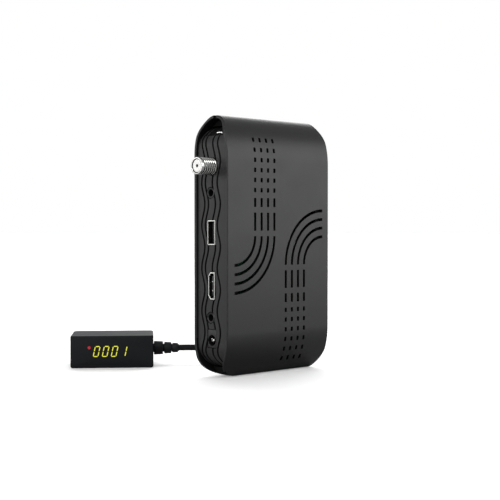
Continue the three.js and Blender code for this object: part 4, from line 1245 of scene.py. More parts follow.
@dataclass(frozen=True)
class Sleeve(Assembly):
    """The two halves of the receiver's sleeve.

    A section in Y and Z runs along X: flat faces between quarter ellipses. The mouths' corners are
    trimmed by a curve, so each point of the section has its own end on either side.

    Attributes:
        rest_cut: what the flat that it rests on takes off the lower arch.
        corner: the trimming curve: its reach, inset, two shares of the reach and one of the inset.
        foot: the same for the lower corner on the connector side, which is cut back further.
        rear_share: the back half's share of the inset at the top of that side.
        arc_end: where the quarter rings end.
        arc_start: their middle's height over the vents' middle.
        lip: how far the outer finish goes into the mouths before the painted shade starts.
        sink: radius and floor of the holes that the cover screws sit in.
        dish: radius and depth of the hollows that the feet sit in.
        bosses: the posts at the cover screws, each as radius, bore, start and end along Y.
    """

    height: float = 142.8
    depth: float = 80.4
    thickness: float = 26.9
    wall: float = 1.6
    front_arch: float = 25.0
    rear_arch: float = 21.0
    rest_cut: float = 0.4
    seam: float = 0.8
    gap: float = 0.3
    steps: int = 28
    corner: tuple[float, ...] = (13.0, 4.2, 0.54, 0.35, 0.95)
    foot: tuple[float, ...] = (12.5, 16.0, 0.3, 0.13, 0.5)
    rear_share: float = 0.7
    vent_drop: float = 2.3
    vent_pitch: float = 5.0
    vent_lines: int = 4
    vent_width: float = 1.7
    vent_edge: float = 20.6
    arc_end: float = 5.0
    arc_start: float = 8.1
    vent_gap: float = 3.0
    vent_run: tuple[float, ...] = (10.0, 5.0) + (2.5,) * 6
    vent_reach: float = 7.5
    slot_count: int = 8
    slot_pitch: float = 5.0
    slot_length: float = 28.0
    slot_width: float = 2.0
    rim: float = 0.32
    lip: float = 1.3
    sink: tuple[float, float] = (3.0, 8.9)
    dish: tuple[float, float] = (4.3, 0.5)
    bosses: tuple[tuple[float, float, float, float], ...] = (
        (3.0, 1.5, -11.9, 5.7), (3.8, 3.0, 8.9, 11.9), (3.8, 1.5, 6.0, 8.8))

    def middle(self) -> float:
        """Height of the sleeve's middle."""
        return (self.height - self.rest_cut) / 2

    def half(self) -> float:
        """Half the sleeve's thickness."""
        return self.thickness / 2

    def section(self, side: int, inset: float, seam: float) -> Array:
        """Section on one side: y = half sin a, z = centre - reach cos a below, + reach cos a above.

        Args:
            side: -1 for the vented side, 1 for the back.
            inset: distance in from the outer face.
            seam: how far from the middle plane it starts and ends.

        Returns:
            Points (y, z) from the lower seam to the upper one, the same number for every inset.
        """
        reach = (self.front_arch if side < 0 else self.rear_arch) - inset
        half = self.half() - inset
        low, high = reach + inset - self.rest_cut, self.height - reach - inset
        seam_angle = math.asin(max(seam, 0.01) / half)
        rest = math.acos(low / reach) if low < reach else seam_angle
        under = np.linspace(rest, np.pi / 2, self.steps + 1)
        over = np.linspace(np.pi / 2, seam_angle, self.steps + 1)
        flat = np.array([[side * half, low + 0.4], [side * half, high - 0.4]])
        ends = np.array([[side * seam, low - reach * math.cos(rest)],
                         [side * seam, high + reach * math.cos(seam_angle)]])
        lower = np.stack([side * half * np.sin(under), low - reach * np.cos(under)], -1)
        upper = np.stack([side * half * np.sin(over), high + reach * np.cos(over)], -1)
        return np.concatenate([ends[:1], lower, flat, upper, ends[1:]])

    def outline(self, inset: float) -> Array:
        """The whole section, for what fits inside the sleeve."""
        front, rear = self.section(-1, inset, 0.0), self.section(1, inset, 0.0)
        return np.concatenate([front[1:-1], rear[1:-1][::-1]])

    @staticmethod
    def trimmed(shape: Sequence[float], distance: Array) -> Array:
        """Inset of a Bezier curve that runs from (0, reach) to (inset, 0).

        Args:
            shape: its reach, inset, two shares of the reach and one of the inset.
            distance: distances from the sleeve's end.

        Returns:
            The inset at each distance.
        """
        reach, inset, first, second, share = shape
        t = np.linspace(0, 1, 201)[:, None]
        handles = np.array([[0, reach], [0, reach * first], [inset * share, reach * second],
                            [inset, 0]])
        weights = [(1 - t) ** 3, 3 * t * (1 - t) ** 2, 3 * t * t * (1 - t), t ** 3]
        curve = np.concatenate(weights, 1) @ handles
        return np.interp(distance, curve[::-1, 1], curve[::-1, 0])

    def mouth(self, z: Array, left: Array | bool, rear: Array | bool) -> Array:
        """Distance of the mouth from the middle plane at each height.

        Args:
            z: heights.
            left: whether it is the mouth on the connector side.
            rear: whether it is the back half, which is fuller at the top of that mouth.

        Returns:
            Half the depth, less the trimming curve's inset near the ends.
        """
        below, above = z + self.rest_cut, self.height - z
        low = np.where(left, self.trimmed(self.foot, below), self.trimmed(self.corner, below))
        share = np.where(np.logical_and(left, rear), self.rear_share, 1.0)
        return self.depth / 2 - np.maximum(low, self.trimmed(self.corner, above) * share)

    def wall_solid(self, side: int) -> Solid:
        """One half of the sleeve: P(i, j) on rings that run outside, across a rim, inside and back.

        Across a rim, at turn t the wall's share is rim (1 - cos t) and the mouth stands back by
        rim (1 - sin t), so both edges are round.

        Args:
            side: -1 for the vented half, 1 for the back.

        Returns:
            The closed wall.
        """
        seam = -(self.seam - self.gap / 2) if side < 0 else self.seam + self.gap / 2
        outer, inner = self.section(side, 0.0, seam), self.section(side, self.wall, seam)
        turn = np.radians(np.linspace(0, 90, 4))
        near = self.rim * (1 - np.cos(turn)) / self.wall
        share = np.concatenate([near, 1 - near[::-1], [1.0]])
        round_in = self.rim * (1 - np.sin(turn))
        back = np.concatenate([round_in, round_in[::-1], [self.lip]])[:, None]
        layers = outer + (inner - outer) * share[:, None, None]
        low = back - self.mouth(layers[..., 1], True, side > 0)
        high = self.mouth(layers[..., 1], False, side > 0) - back
        across = np.concatenate([layers, layers[::-1]])
        ends = np.concatenate([low, high[::-1]])
        return lofted(on_axis(across[..., 0], across[..., 1], ends, Axis.X).transpose(1, 0, 2))

    def vents(self) -> list[Solid]:
        """Cutters for the vent lines: each line is a quarter ring and a run of slots above it.

        Returns:
            Both groups, the second turned half round about the middle of the pattern.
        """
        low, high = -self.half() - 1.0, -self.half() + self.vent_reach
        middle = self.middle() - self.vent_drop
        solids = []
        for line in range(self.vent_lines):
            x = -self.depth / 2 + self.vent_edge + line * self.vent_pitch
            bend = -self.depth / 2 + self.arc_end
            centre, w = (bend, self.arc_start), self.vent_width / 2
            shapes = [np.concatenate([arc(centre, x - bend + w, -90, 0, 28),
                                      arc(centre, x - bend - w, 0, -90, 28)])]
            z = self.arc_start + self.vent_gap
            for length in self.vent_run:
                shapes.append(rounded(x - w, z, x + w, z + length, w * 0.55, 3))
                z += length + self.vent_gap
            for shape in shapes:
                for turn in (1, -1):
                    solids.append(prism(shape * turn + [0, middle], low, high, Axis.Y))
        return solids

    @staticmethod
    def at_node(node: str, profile: Array, steps: int) -> Solid:
        """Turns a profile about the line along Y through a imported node's middle."""
        x, _, z = middle_of(node)
        return turned(profile, Axis.Y, (x, z), steps)

    def rear_slots(self) -> list[Solid]:
        """Cutters for the level vent slots in the back.

        Returns:
            The cutters, evenly spaced about the middle.
        """
        length, width, solids = self.slot_length / 2, self.slot_width / 2, []
        for k in range(self.slot_count):
            z = self.middle() + (k - (self.slot_count - 1) / 2) * self.slot_pitch
            shape = rounded(-length, z - width, length, z + width, self.slot_width * 0.45, 5)
            solids.append(prism(shape, self.half() - self.wall - 1.0, self.half() + 1.0, Axis.Y))
        return solids

    def depth_within(self, centres: Array, inset: float = 0.0) -> Array:
        """How deep points lie under a section: (1 - level) times its half thickness.

        Args:
            centres: the points.
            inset: inset of the section.

        Returns:
            The depths, where the level is 1 on the section and 0 on its middle line.
        """
        y, z = centres[:, 1], centres[:, 2]
        reach = np.where(y < 0, self.front_arch, self.rear_arch) - inset
        low, high = reach + inset - self.rest_cut, self.height - reach - inset
        bent = np.where(z < low, low - z, np.where(z > high, z - high, 0.0)) / reach
        half = self.half() - inset
        return half * (1 - np.hypot(y / half, bent))

    def normal_at(self, points: Array) -> Array:
        """Outward normals of the section: (y / half^2, rise / reach^2), made as long as 1.

        Args:
            points: points on the section.

        Returns:
            The normals.
        """
        y, z = points[:, 1], points[:, 2]
        reach = np.where(y < 0, self.front_arch, self.rear_arch)
        low, high = reach - self.rest_cut, self.height - reach
        rise = np.where(z < low, z - low, np.where(z > high, z - high, 0.0))
        normals = np.stack([np.zeros(len(y)), y / self.half() ** 2, rise / reach ** 2], -1)
        return normals / np.linalg.norm(normals, axis=1, keepdims=True)

    def skin(self, centres: Array, normals: Array) -> Array:
        """Picks the outer faces that follow the section, not the flat that it rests on."""
        true = (self.normal_at(centres) * normals).sum(1)
        return (self.depth_within(centres) < 0.03) & (true > 0.98) & (centres[:, 2] > 0.05)

    def inside(self, centres: Array, normals: Array) -> Array:
        """Picks the inner faces and the walls of slots and sinks, to be painted near-black as
        shade; not the mouths' rims and lips.

        Args:
            centres: the faces' centres.
            normals: their normals.

        Returns:
            Whether each face is picked.
        """
        x, y, z = centres.T
        rim = (np.abs(normals[:, 0]) > 0.6) & (np.abs(x) > self.depth / 2 - 5.5)
        flat = (z > self.front_arch) & (z < self.height - self.front_arch)
        lip = flat & (self.mouth(z, x < 0, y > 0) - np.abs(x) < self.lip)
        return (self.depth_within(centres) > 0.12) & ~rim & ~lip

    def half_shell(self, name: str, side: int, cutters: Sequence[Solid], node: str) -> None:
        """One half of the sleeve with its openings.

        Args:
            name: the piece's name.
            side: -1 for the vented half, 1 for the back.
            cutters: its openings.
            node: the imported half.
        """
        shell = Piece(name, self.wall_solid(side)).change(together(cutters), Cut.AWAY)
        # The faces inside the sleeve and in its slots are painted near-black as shade.
        shell.finish(self.finishes.shell, "shell_plastic", node,
                     within=self.finishes.recess, pick=self.inside)
        shell.follow(self.skin, self.normal_at)

    def build(self) -> None:
        """Makes both halves and the posts for the cover screws."""
        screws = [f"cover_screw_{k}" for k in range(1, 5)]
        (sink, floor), (dish, deep), half = self.sink, self.dish, self.half()
        sinks = [self.at_node(name, rod(floor, half + 1, sink), 40) for name in screws]
        feet = [self.at_node(f"foot_{k}", rod(half - deep, half + 1, dish), 40)
                for k in range(1, 5)]
        self.half_shell("front_shell", -1, self.vents(), "front_cover")
        self.half_shell("rear_shell", 1, [*sinks, *feet, *self.rear_slots()], "rear_cover")
        posts = [self.at_node(name, np.array([[low, bore], [low, radius], [high, radius],
                                              [high, bore], [low, bore]]), 32)
                 for radius, bore, low, high in self.bosses for name in screws]
        room = prism(self.outline(self.wall * 0.95), -self.depth / 2, self.depth / 2, Axis.X)
        Piece("cover_bosses", together(posts)).change(room, Cut.COMMON).finish(
            self.finishes.shell, "shell_plastic", smooth=40)


@dataclass(frozen=True)
class EndCaps(Assembly):
    """The two grooved caps that close the sleeve's mouths.

    Attributes:
        recess: how far their faces stand back from the mouths' middle.
        shaded_crown: how far a face near the top must look up before it is painted near-black as
            shade.
        groove_form: the groove's section, as places across it and heights over the face.
        strip: place behind the face, nearer and further end, and half width of the snap strips.
    """

    sleeve: Sleeve
    recess: float = 1.2
    wall: float = 1.5
    cap_depth: float = 8.0
    end: float = 5.4
    corner: float = 12.0
    clear: float = 0.4
    rows: tuple[float, ...] = (7.35, 4.4, -1.15, -5.05)
    wave: float = 23.3
    swing: float = 1.25
    groove_turn: float = 72.0
    # Faces near the top that look up more than this are painted dark as shade.
    shaded_crown: float = 0.53
    steps_per_wave: int = 44
    groove_form: tuple[tuple[float, float], ...] = (
        (-0.76, 0.4), (-0.76, 0.09), (-0.66, -0.03), (-0.6, -0.12), (-0.55, -0.6), (-0.4, -0.86),
        (0.0, -0.95), (0.4, -0.86), (0.55, -0.6), (0.6, -0.12), (0.66, -0.03), (0.76, 0.09),
        (0.76, 0.4))
    strip: tuple[float, float, float, float] = (5.0, 11.0, 40.0, 0.6)
    strip_lift: float = 0.9
    web: float = 1.2
    hole_room: float = 0.3

    def face(self) -> float:
        """Distance of the caps' faces from the middle plane."""
        return self.sleeve.depth / 2 - self.recess

    def low(self) -> float:
        """Lowest point of the caps."""
        return self.end - self.sleeve.rest_cut

    def high(self) -> float:
        """Highest point of the caps."""
        return self.sleeve.height - self.end

    def rim_inset(self) -> float:
        """How far the caps' walls lie inside the sleeve's outer face."""
        return self.sleeve.wall + self.clear

    def plan(self, inset: float) -> Array:
        """The caps' outline in X and Z, drawn in by inset."""
        x = self.face() - inset
        return rounded(-x, self.low() + inset, x, self.high() - inset, self.corner - inset, 20)

    def form(self, inset: float, ends: Sequence[float]) -> tuple[Solid, Solid]:
        """The section and plan prisms whose common part is a cap's form, drawn in by inset."""
        section, deep = self.sleeve.outline(self.rim_inset() + inset), self.sleeve.thickness
        return prism(section, *ends, Axis.X), prism(self.plan(inset), -deep, deep, Axis.Y)

    def groove(self, side: int, row: float) -> Solid:
        """A groove that follows the cap's face and corners.

        At distance s from the middle its line lies at y = row - swing cos(2 pi s / wave), and the
        section's points stand at (across, height) off that line and the face.

        Args:
            side: which cap.
            row: the line's mean place across the cap.

        Returns:
            The cutter.
        """
        straight = (self.high() - self.low()) / 2 - self.corner
        reach = straight + self.corner * math.radians(self.groove_turn)
        count = round(2 * reach * self.steps_per_wave / self.wave) + 1
        s = np.linspace(-reach, reach, count)[:, None]
        turn = np.maximum(np.abs(s) - straight, 0) / self.corner
        across, height = np.array(self.groove_form).T[:, None, :]
        radius = self.corner + height
        x = self.face() - self.corner + radius * np.cos(turn)
        bent = np.sign(s) * (straight + radius * np.sin(turn))
        z = self.sleeve.middle() + np.where(turn > 0, bent, s)
        y = row - self.swing * np.cos(2 * np.pi * s / self.wave) + across
        return lofted(np.stack(np.broadcast_arrays(side * x, y, z), -1))

    def strips(self, side: int) -> list[Solid]:
        """The snap strips along a cap's long walls.

        Args:
            side: which cap.

        Returns:
            One strip on either wall.
        """
        behind, near, far, width = self.strip
        x, middle = side * (self.face() - behind), self.sleeve.middle()
        z = (middle + near, middle + far) if side < 0 else (middle - far, middle - near)
        wall = self.sleeve.half() - self.rim_inset()
        out = wall + self.strip_lift
        return [block((x - width, a, z[0]), (x + width, b, z[1]), 0.2)
                for a, b in ((-out, 1 - wall), (wall - 1, out))]

    def webs(self, side: int) -> list[Solid]:
        """Thin webs behind a cap's rounded ends, which close the space up to the sleeve and are
        painted near-black as shade.

        Args:
            side: which cap.

        Returns:
            The lower and the upper web.
        """
        outline = self.sleeve.outline(self.rim_inset())
        low, high = self.low() + 0.5, self.high() - 0.5
        x = self.face() - self.cap_depth
        x = sorted([side * x, side * (x + self.web)])
        ends = [outline[outline[:, 1] < low], outline[outline[:, 1] > high]]
        return [prism(end, *x, Axis.X) for end in ends]

    def cap(self, name: str, side: int) -> Piece:
        """A grooved cap without holes.

        Args:
            name: its name.
            side: which mouth it closes.

        Returns:
            The piece.
        """
        rim, face = self.face() - self.cap_depth, self.face()
        section, plan = self.form(0.0, sorted([side * rim, side * (face + 1.0)]))
        piece = Piece(name, section).change(plan, Cut.COMMON)
        section, plan = self.form(self.wall, sorted([side * (rim - 1.0), side * face]))
        piece.change(Piece("core", section).change(plan, Cut.COMMON), Cut.AWAY)
        for row in self.rows:
            piece.change(self.groove(side, row), Cut.AWAY)
        return piece

    def inside(self, centres: Array, normals: Array) -> Array:
        """Picks the faces painted near-black as shade: in grooves and holes, behind the face, and
        near the top where the face looks up.

        Args:
            centres: the faces' centres.
            normals: their normals.

        Returns:
            Whether each face is picked.
        """
        middle = self.sleeve.middle()
        long = (self.high() - self.low()) / 2
        across = np.maximum(np.abs(centres[:, 0]) - self.face() + self.corner, 0)
        along = np.maximum(np.abs(centres[:, 2] - middle) - long + self.corner, 0)
        section = self.sleeve.depth_within(centres, self.rim_inset())
        sunk = (self.corner - np.hypot(across, along) > 0.13) & (section > 0.15)
        hidden = (np.abs(normals[:, 1]) > 0.9) & (np.abs(centres[:, 0]) < self.face() - 2)
        # Painted shade on the upper rounded end, where the cap looks up under the sleeve's top.
        shaded_crown = (normals[:, 2] > self.shaded_crown) & (centres[:, 2] > middle)
        return sunk | hidden | shaded_crown

    def holes(self) -> list[Solid]:
        """Cutters for the sockets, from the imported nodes' boxes.

        Returns:
            The cutters.
        """
        low, high, fit = -self.face() - 1, -self.face() + self.wall + 1.0, self.hole_room
        solids = [turned(rod(low, high, radius), Axis.X, (y, middle_of(node)[2]), 48)
                  for node, y, radius in (("aerial_socket_body", AerialSocket.y, 5.0),
                                          ("serial_jack", PlugSockets.jack_y, 3.2),
                                          ("av_jack", PlugSockets.jack_y, 3.2))]
        for node in ("usb_shell", "power_jack_body"):
            a, b = box_of(node)
            shape = rounded(a[1] - fit, a[2] - fit, b[1] + fit, b[2] + fit, 0.5, 4)
            solids.append(prism(shape, low, high, Axis.X))
        return [*solids, prism(PlugSockets.video_outline(-fit), low, high, Axis.X)]

    def build(self) -> None:
        """Makes both caps, their snap strips and their webs."""
        panel = self.cap("connector_face", -1)
        panel.change(together(self.holes()), Cut.AWAY)
        panel.change(LightBar(self.finishes, self).solid(0.1, 1.0), Cut.AWAY)
        far = self.cap("far_face", 1)
        # Grooves, holes, hidden walls and the upward-looking top of each cap are painted near-black
        # as shade.
        for piece, node in ((panel, "connector_panel"), (far, "far_side_panel")):
            piece.finish(self.finishes.panel, "panel_plastic", node, smooth=28,
                         within=self.finishes.recess, pick=self.inside)
        # The webs wear the near-black painted shade.
        for name, solids, finish in (("snap_strips", self.strips, self.finishes.panel),
                                     ("cap_webs", self.webs, self.finishes.recess)):
            Piece(name, together(solids(-1) + solids(1))).finish(finish, "panel_plastic", smooth=40)


@dataclass(frozen=True)
class LightBar(Assembly):
    """The small white light in the connector cap's upper corner."""

    caps: EndCaps
    degrees: float = 41.8
    y: float = -2.3
    width: float = 3.9
    height: float = 0.42
    length: float = 3.2
    proud: float = 0.05

    def solid(self, margin: float = 0.0, overrun: float = 0.0) -> Solid:
        """A rounded bar turned about Y so that it looks out of the corner.

        Args:
            margin: added all round, for its hole.
            overrun: added at both ends.

        Returns:
            The bar.
        """
        caps = self.caps
        w, h, d = self.width / 2 + margin, self.height / 2 + margin, self.length / 2 + overrun
        flush = caps.wall / 2 + self.proud - self.length / 2
        bar = prism(rounded(-w, -h, w, h, h * 0.9, 5), -d - flush, d, Axis.X)
        c, s = math.cos(math.radians(self.degrees)), math.sin(math.radians(self.degrees))
        x, y, z = bar.points.T
        radius = caps.corner - caps.wall / 2
        points = np.stack([
            x * c + z * s - (caps.face() - caps.corner + radius * c), y + self.y,
            -x * s + z * c + caps.high() - caps.corner + radius * s], -1)
        return Solid(points, bar.blocks).outward()

    def build(self) -> None:
        """Makes the bar."""
        Piece("light_strip", self.solid()).finish(
            self.finishes.light, "clear_light", "light_bar", smooth=50)


@dataclass(frozen=True)
class AerialSocket(Assembly):
    """The threaded socket: plated barrel, white insulator and brass contact."""

    radius: float = 4.7
    bore: float = 3.95
    bore_depth: float = 8.0
    pin_hole: float = 1.2
    pitch: float = 1.5
    cut: float = 0.4
    nose: float = 0.6
    thread_end: float = 10.4
    y: float = 0.3
    contact_hole: float = 0.82
    fork_length: float = 4.0

    def barrel(self, front: float, back: float, centre: tuple[float, float]) -> None:
        """The threaded barrel: a turned profile whose radius swells by the thread.

        Args:
            front: where it starts on X.
            back: where it ends.
            centre: its line's place in Y and Z.
        """
        start, end, floor = front + self.nose, front + self.thread_end, front + self.bore_depth

        def thread(along: Array, angle: Array) -> Array:
            """Less the cut times a triangle wave of distance / pitch - angle / (2 pi).

            Args:
                along: distances along X.
                angle: angles round it.

            Returns:
                The change of radius, faded out at the thread's ends.
            """
            phase = (along - start) / self.pitch - angle / (2 * np.pi)
            wave = 1 - np.abs(2 * (phase - np.floor(phase)) - 1)
            fade = np.clip((along - start) / 0.5, 0, 1) * np.clip((end - along) / 0.5, 0, 1)
            return -self.cut * wave * fade * (along > start) * (along < end)

        def roots(at: Array, _: Array) -> Array:
            """Picks the thread's roots and the bore, which are painted dark as shade."""
            return (off_line(at, centre) < self.radius - self.cut * 0.6) & (at[:, 0] > start)
        run = np.arange(start + 0.01, end, self.pitch / 10)
        profile = np.concatenate([
            [[front + 0.12, self.bore], [front, self.bore + 0.08], [front, self.radius - 0.26],
             [front + 0.08, self.radius - 0.1], [start, self.radius - 0.02]],
            np.stack([run, np.full(len(run), self.radius)], -1),
            [[end, self.radius], [back, self.radius], [back, self.pin_hole],
             [floor, self.pin_hole], [floor, self.bore], [front + 0.12, self.bore]]])
        # The thread's roots and the bore get dark metal as painted shade.
        Piece("aerial_barrel", turned(profile, Axis.X, centre, 64, thread)).finish(
            self.finishes.nickel, "nickel", "aerial_socket_body", smooth=30,
            within=self.finishes.root, pick=roots)

    def build(self) -> None:
        """Makes the socket's three pieces."""
        (front, *_), (back, *_) = box_of("aerial_socket_body")
        centre = (self.y, middle_of("aerial_socket_body")[2])
        self.barrel(front, back, centre)
        face, hole = front + 0.3, self.contact_hole
        r, deep = self.bore - 0.5, front + self.bore_depth - 0.3
        dish = np.array([
            [face + 0.3, hole], [face + 0.08, hole + 0.02], [face + 0.02, 0.95], [face, 2.6],
            [face + 0.03, r - 0.3], [face + 0.15, r], [deep, r], [deep, 1.3], [deep - 4.3, 1.3],
            [deep - 4.3, hole], [face + 0.3, hole]])

        def edges(at: Array, _: Array) -> Array:
            """Picks the insulator's hole and its outer wall, which are painted near-black as shade.
            """
            off = off_line(at, centre)
            return ((off < hole + 0.03) | (off > r - 0.04)) & (at[:, 0] > face + 0.1)
        # The insulator's hole and outer wall are painted near-black as shade.
        Piece("aerial_insulator", turned(dish, Axis.X, centre, 56)).finish(
            self.finishes.white, "white_plastic", "aerial_socket_insulator",
            within=self.finishes.recess, pick=edges)
        tip = deep - self.fork_length
        fork = np.array([[tip, 0], [tip, 0.55], [tip + 0.3, 0.9], [deep, 1.0], [deep, 0]])
        Piece("aerial_fork", turned(fork, Axis.X, centre, 28)).finish(
            self.finishes.brass, "brass", "aerial_socket_contact")


@dataclass(frozen=True)
class PlugSockets(Assembly):
    """Jacks, data socket, video socket and power jack in the connector cap."""

    jack_y: float = 1.4
    jack_bore: float = 1.8
    jack_collar: float = 2.9
    jack_depth: float = 11.0
    wall: float = 1.5
    data_springs: tuple[float, ...] = (-3.2, 3.2)
    data_pads: tuple[float, ...] = (-3.45, -1.15, 1.15, 3.45)
    video_springs: tuple[float, ...] = (-2.4, 2.4)
    power_bore: float = 2.9

    def jack(self, node: str) -> None:
        """A jack: block, collar with a turned lip, bore, and contact spring in it.

        Args:
            node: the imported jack.
        """
        a, b = box_of(node)
        front, z, y = a[0], middle_of(node)[2], self.jack_y
        r, c, floor = self.jack_bore, self.jack_collar, a[0] + self.jack_depth
        back = front + self.wall + 0.3
        profile = np.array([
            [floor, r], [front + 0.35, r], [front + 0.1, r + 0.2], [front, r + 0.45],
            [front, c - 0.25], [front + 0.2, c], [back, c], [back, c - 0.6], [floor, c - 0.6],
            [floor, r]])
        behind = front + self.wall + 0.35
        body = block((behind, b[1] - 4.6, z - 3), (b[0], b[1], z + 3), 0.25)
        hole = turned(rod(behind - 1, floor + 0.1, c - 0.55), Axis.X, (y, z), 40)
        Piece(node + "_body", body).change(hole, Cut.AWAY).finish(
            self.finishes.black, "black_plastic", node)
        # The collar's bore is painted near-black as shade.
        Piece(node + "_collar", turned(profile, Axis.X, (y, z), 48)).finish(
            self.finishes.black, "black_plastic", within=self.finishes.recess,
            pick=lambda at, _: off_line(at, (y, z)) < r + 0.1)
        spring = block((front + 2.2, y - 1.65, z - 0.5), (front + 8, y - 1.3, z + 0.5), 0.1)
        Piece(node + "_spring", spring).finish(self.finishes.tin, "nickel")

    @staticmethod
    def folded(outline: Callable[[float], Array], low: float, high: float, wall: float,
               edge: float) -> list[Solid]:
        """A folded metal shell: a tube wall, its eased front edge, and its back."""
        return [sleeve_ring(outline(0.0), outline(wall), low + 0.1, high - 0.5, Axis.X),
                sleeve_ring(outline(edge), outline(wall - edge), low, low + 0.1, Axis.X),
                prism(outline(0.2), high - 1.0, high, Axis.X)]

    @staticmethod
    def inner(low: Array, high: Array, depth: float, board_side: float) -> Pick:
        """A test for faces inside a flat shell, from a depth on and clear of the board's side,
        which are painted near-black as shade.
        """
        first, last = low + [depth, 0.25, 0.25], high - [-math.inf, board_side, 0.25]
        return lambda at, _: ((at > first) & (at < last)).all(1)

    def data(self) -> None:
        """The flat data socket: folded shell with springs, and a tongue with four contacts."""
        a, b = box_of("usb_shell")
        z = middle_of("usb_shell")[2]

        def outline(inset: float) -> Array:
            """The shell's outline in Y and Z."""
            return rounded(a[1] + inset, a[2] + inset, b[1] - inset, b[2] - inset,
                           0.55 - inset * 0.5, 5)
        shell = self.folded(outline, a[0], b[0], 0.4, 0.08)
        shell += [block((a[0] + 1.4, y, z + side - 1), (a[0] + 7, y + 0.35, z + side + 1), 0.1)
                  for side in self.data_springs for y in (b[1] - 0.85, a[1] + 0.5)]
        # The shell's inside is painted near-black as shade.
        Piece("data_shell", together(shell)).finish(
            self.finishes.tin, "nickel", "usb_shell", within=self.finishes.recess,
            pick=self.inner(a, b, 0.3, 0.25))
        c, d = box_of("usb_tongue")
        Piece("data_tongue", block(c, d, 0.25)).finish(
            self.finishes.black, "black_plastic", "usb_tongue", smooth=40)
        pads = [block((c[0] + 1.2, d[1] - 0.1, z + at - 0.5),
                      (d[0] - 2, d[1] + 0.06, z + at + 0.5), 0.04) for at in self.data_pads]
        Piece("data_contacts", together(pads)).finish(self.finishes.brass, "brass", smooth=40)

    @staticmethod
    def video_outline(inset: float) -> Array:
        """The video socket's outline in Y and Z, its corners on the board side cut off.

        Args:
            inset: how far it is drawn in.

        Returns:
            Points in order.
        """
        (_, left, low), (_, right, top) = box_of("video_shell")
        aside, up, soft = 0.3, 0.15, 0.3
        y, z = (left + right) / 2 - aside, (low + top) / 2 + up
        wide, half = (right - left) / 2 - aside - inset, (top - low) / 2 - up - inset
        cut = 2.0 - inset * 0.4
        return np.array([
            [y - wide + soft, z - half], [y - wide, z - half + soft],
            [y - wide, z + half - soft], [y - wide + soft, z + half],
            [y + wide - cut * 0.8, z + half], [y + wide, z + half - cut],
            [y + wide, z - half + cut], [y + wide - cut * 0.8, z - half]])

    def video(self) -> None:
        """The digital video socket: folded shell and a tongue with its rows of contacts."""
        a, b = box_of("video_shell")
        _, y, z = middle_of("video_shell") - [0, 0.1, 0]
        shell = self.folded(self.video_outline, a[0], b[0], 0.5, 0.1)
        for side in self.video_springs:
            leaf = block((a[0] + 1.6, y - 0.2, z + side - 0.4), (a[0] + 6, y + 0.1, z + side + 0.4),
                         0.1)
            bead = arc((a[0] + 1.3, 0), 0.42, 180, 0, 10)
            shell += [leaf, turned(bead, Axis.X, (y, z + side), 20)]
        # The shell's inside is painted near-black as shade.
        Piece("video_case", together(shell)).finish(
            self.finishes.tin, "nickel", "video_shell", smooth=30, within=self.finishes.recess,
            pick=self.inner(a, b, 2.0, 0.6))
        c, d = box_of("video_tongue")
        Piece("video_blade", block(c, d, 0.2)).finish(
            self.finishes.black, "black_plastic", "video_tongue", smooth=40)
        pads = [block((c[0] + 0.7, at - 0.05, z + k - 0.22), (d[0] - 2, at + 0.05, z + k + 0.22),
                      0.03) for at in (c[1], d[1]) for k in range(-4, 5)]
        Piece("video_contacts", together(pads)).finish(self.finishes.brass, "brass", smooth=40)

    def power(self) -> None:
        """The power jack: a block with a round mouth, its pin and a contact leaf."""
        a, b = box_of("power_jack_body")
        c, d = box_of("power_jack_pin")
        front, bore = a[0], self.power_bore
        _, y, z = middle_of("power_jack_pin")
        r = (d[1] - c[1]) / 2
        mouth = np.array([
            [front - 1, 0], [front - 1, bore + 0.2], [front, bore + 0.15],
            [front + 0.15, bore + 0.03], [front + 0.5, bore], [d[0] + 0.3, bore], [d[0] + 0.3, 0]])
        # The mouth's bore is painted near-black as shade.
        Piece("power_block", block(a, b, 0.3)).change(
            turned(mouth, Axis.X, (y, z), 56), Cut.AWAY).finish(
            self.finishes.panel, "black_plastic", "power_jack_body", smooth=30,
            within=self.finishes.recess,
            pick=lambda at, _: (off_line(at, (y, z)) < bore + 0.07) & (at[:, 0] > front + 0.1))
        pin = np.array([[c[0], 0], [c[0], r * 0.45], [c[0] + 0.25, r * 0.8], [c[0] + 0.6, r],
                        [d[0], r], [d[0], 0]])
        Piece("power_pin", turned(pin, Axis.X, (y, z), 32)).finish(
            self.finishes.nickel, "nickel", "power_jack_pin")
        leaf = block((front + 2.4, y + 2.35, z - 0.9), (front + 8, y + 2.75, z + 0.9), 0.12)
        Piece("power_leaf", leaf).finish(self.finishes.tin, "nickel")

    def build(self) -> None:
        """Makes every socket."""
        for node in ("serial_jack", "av_jack"):
            self.jack(node)
        self.data()
        self.video()
        self.power()


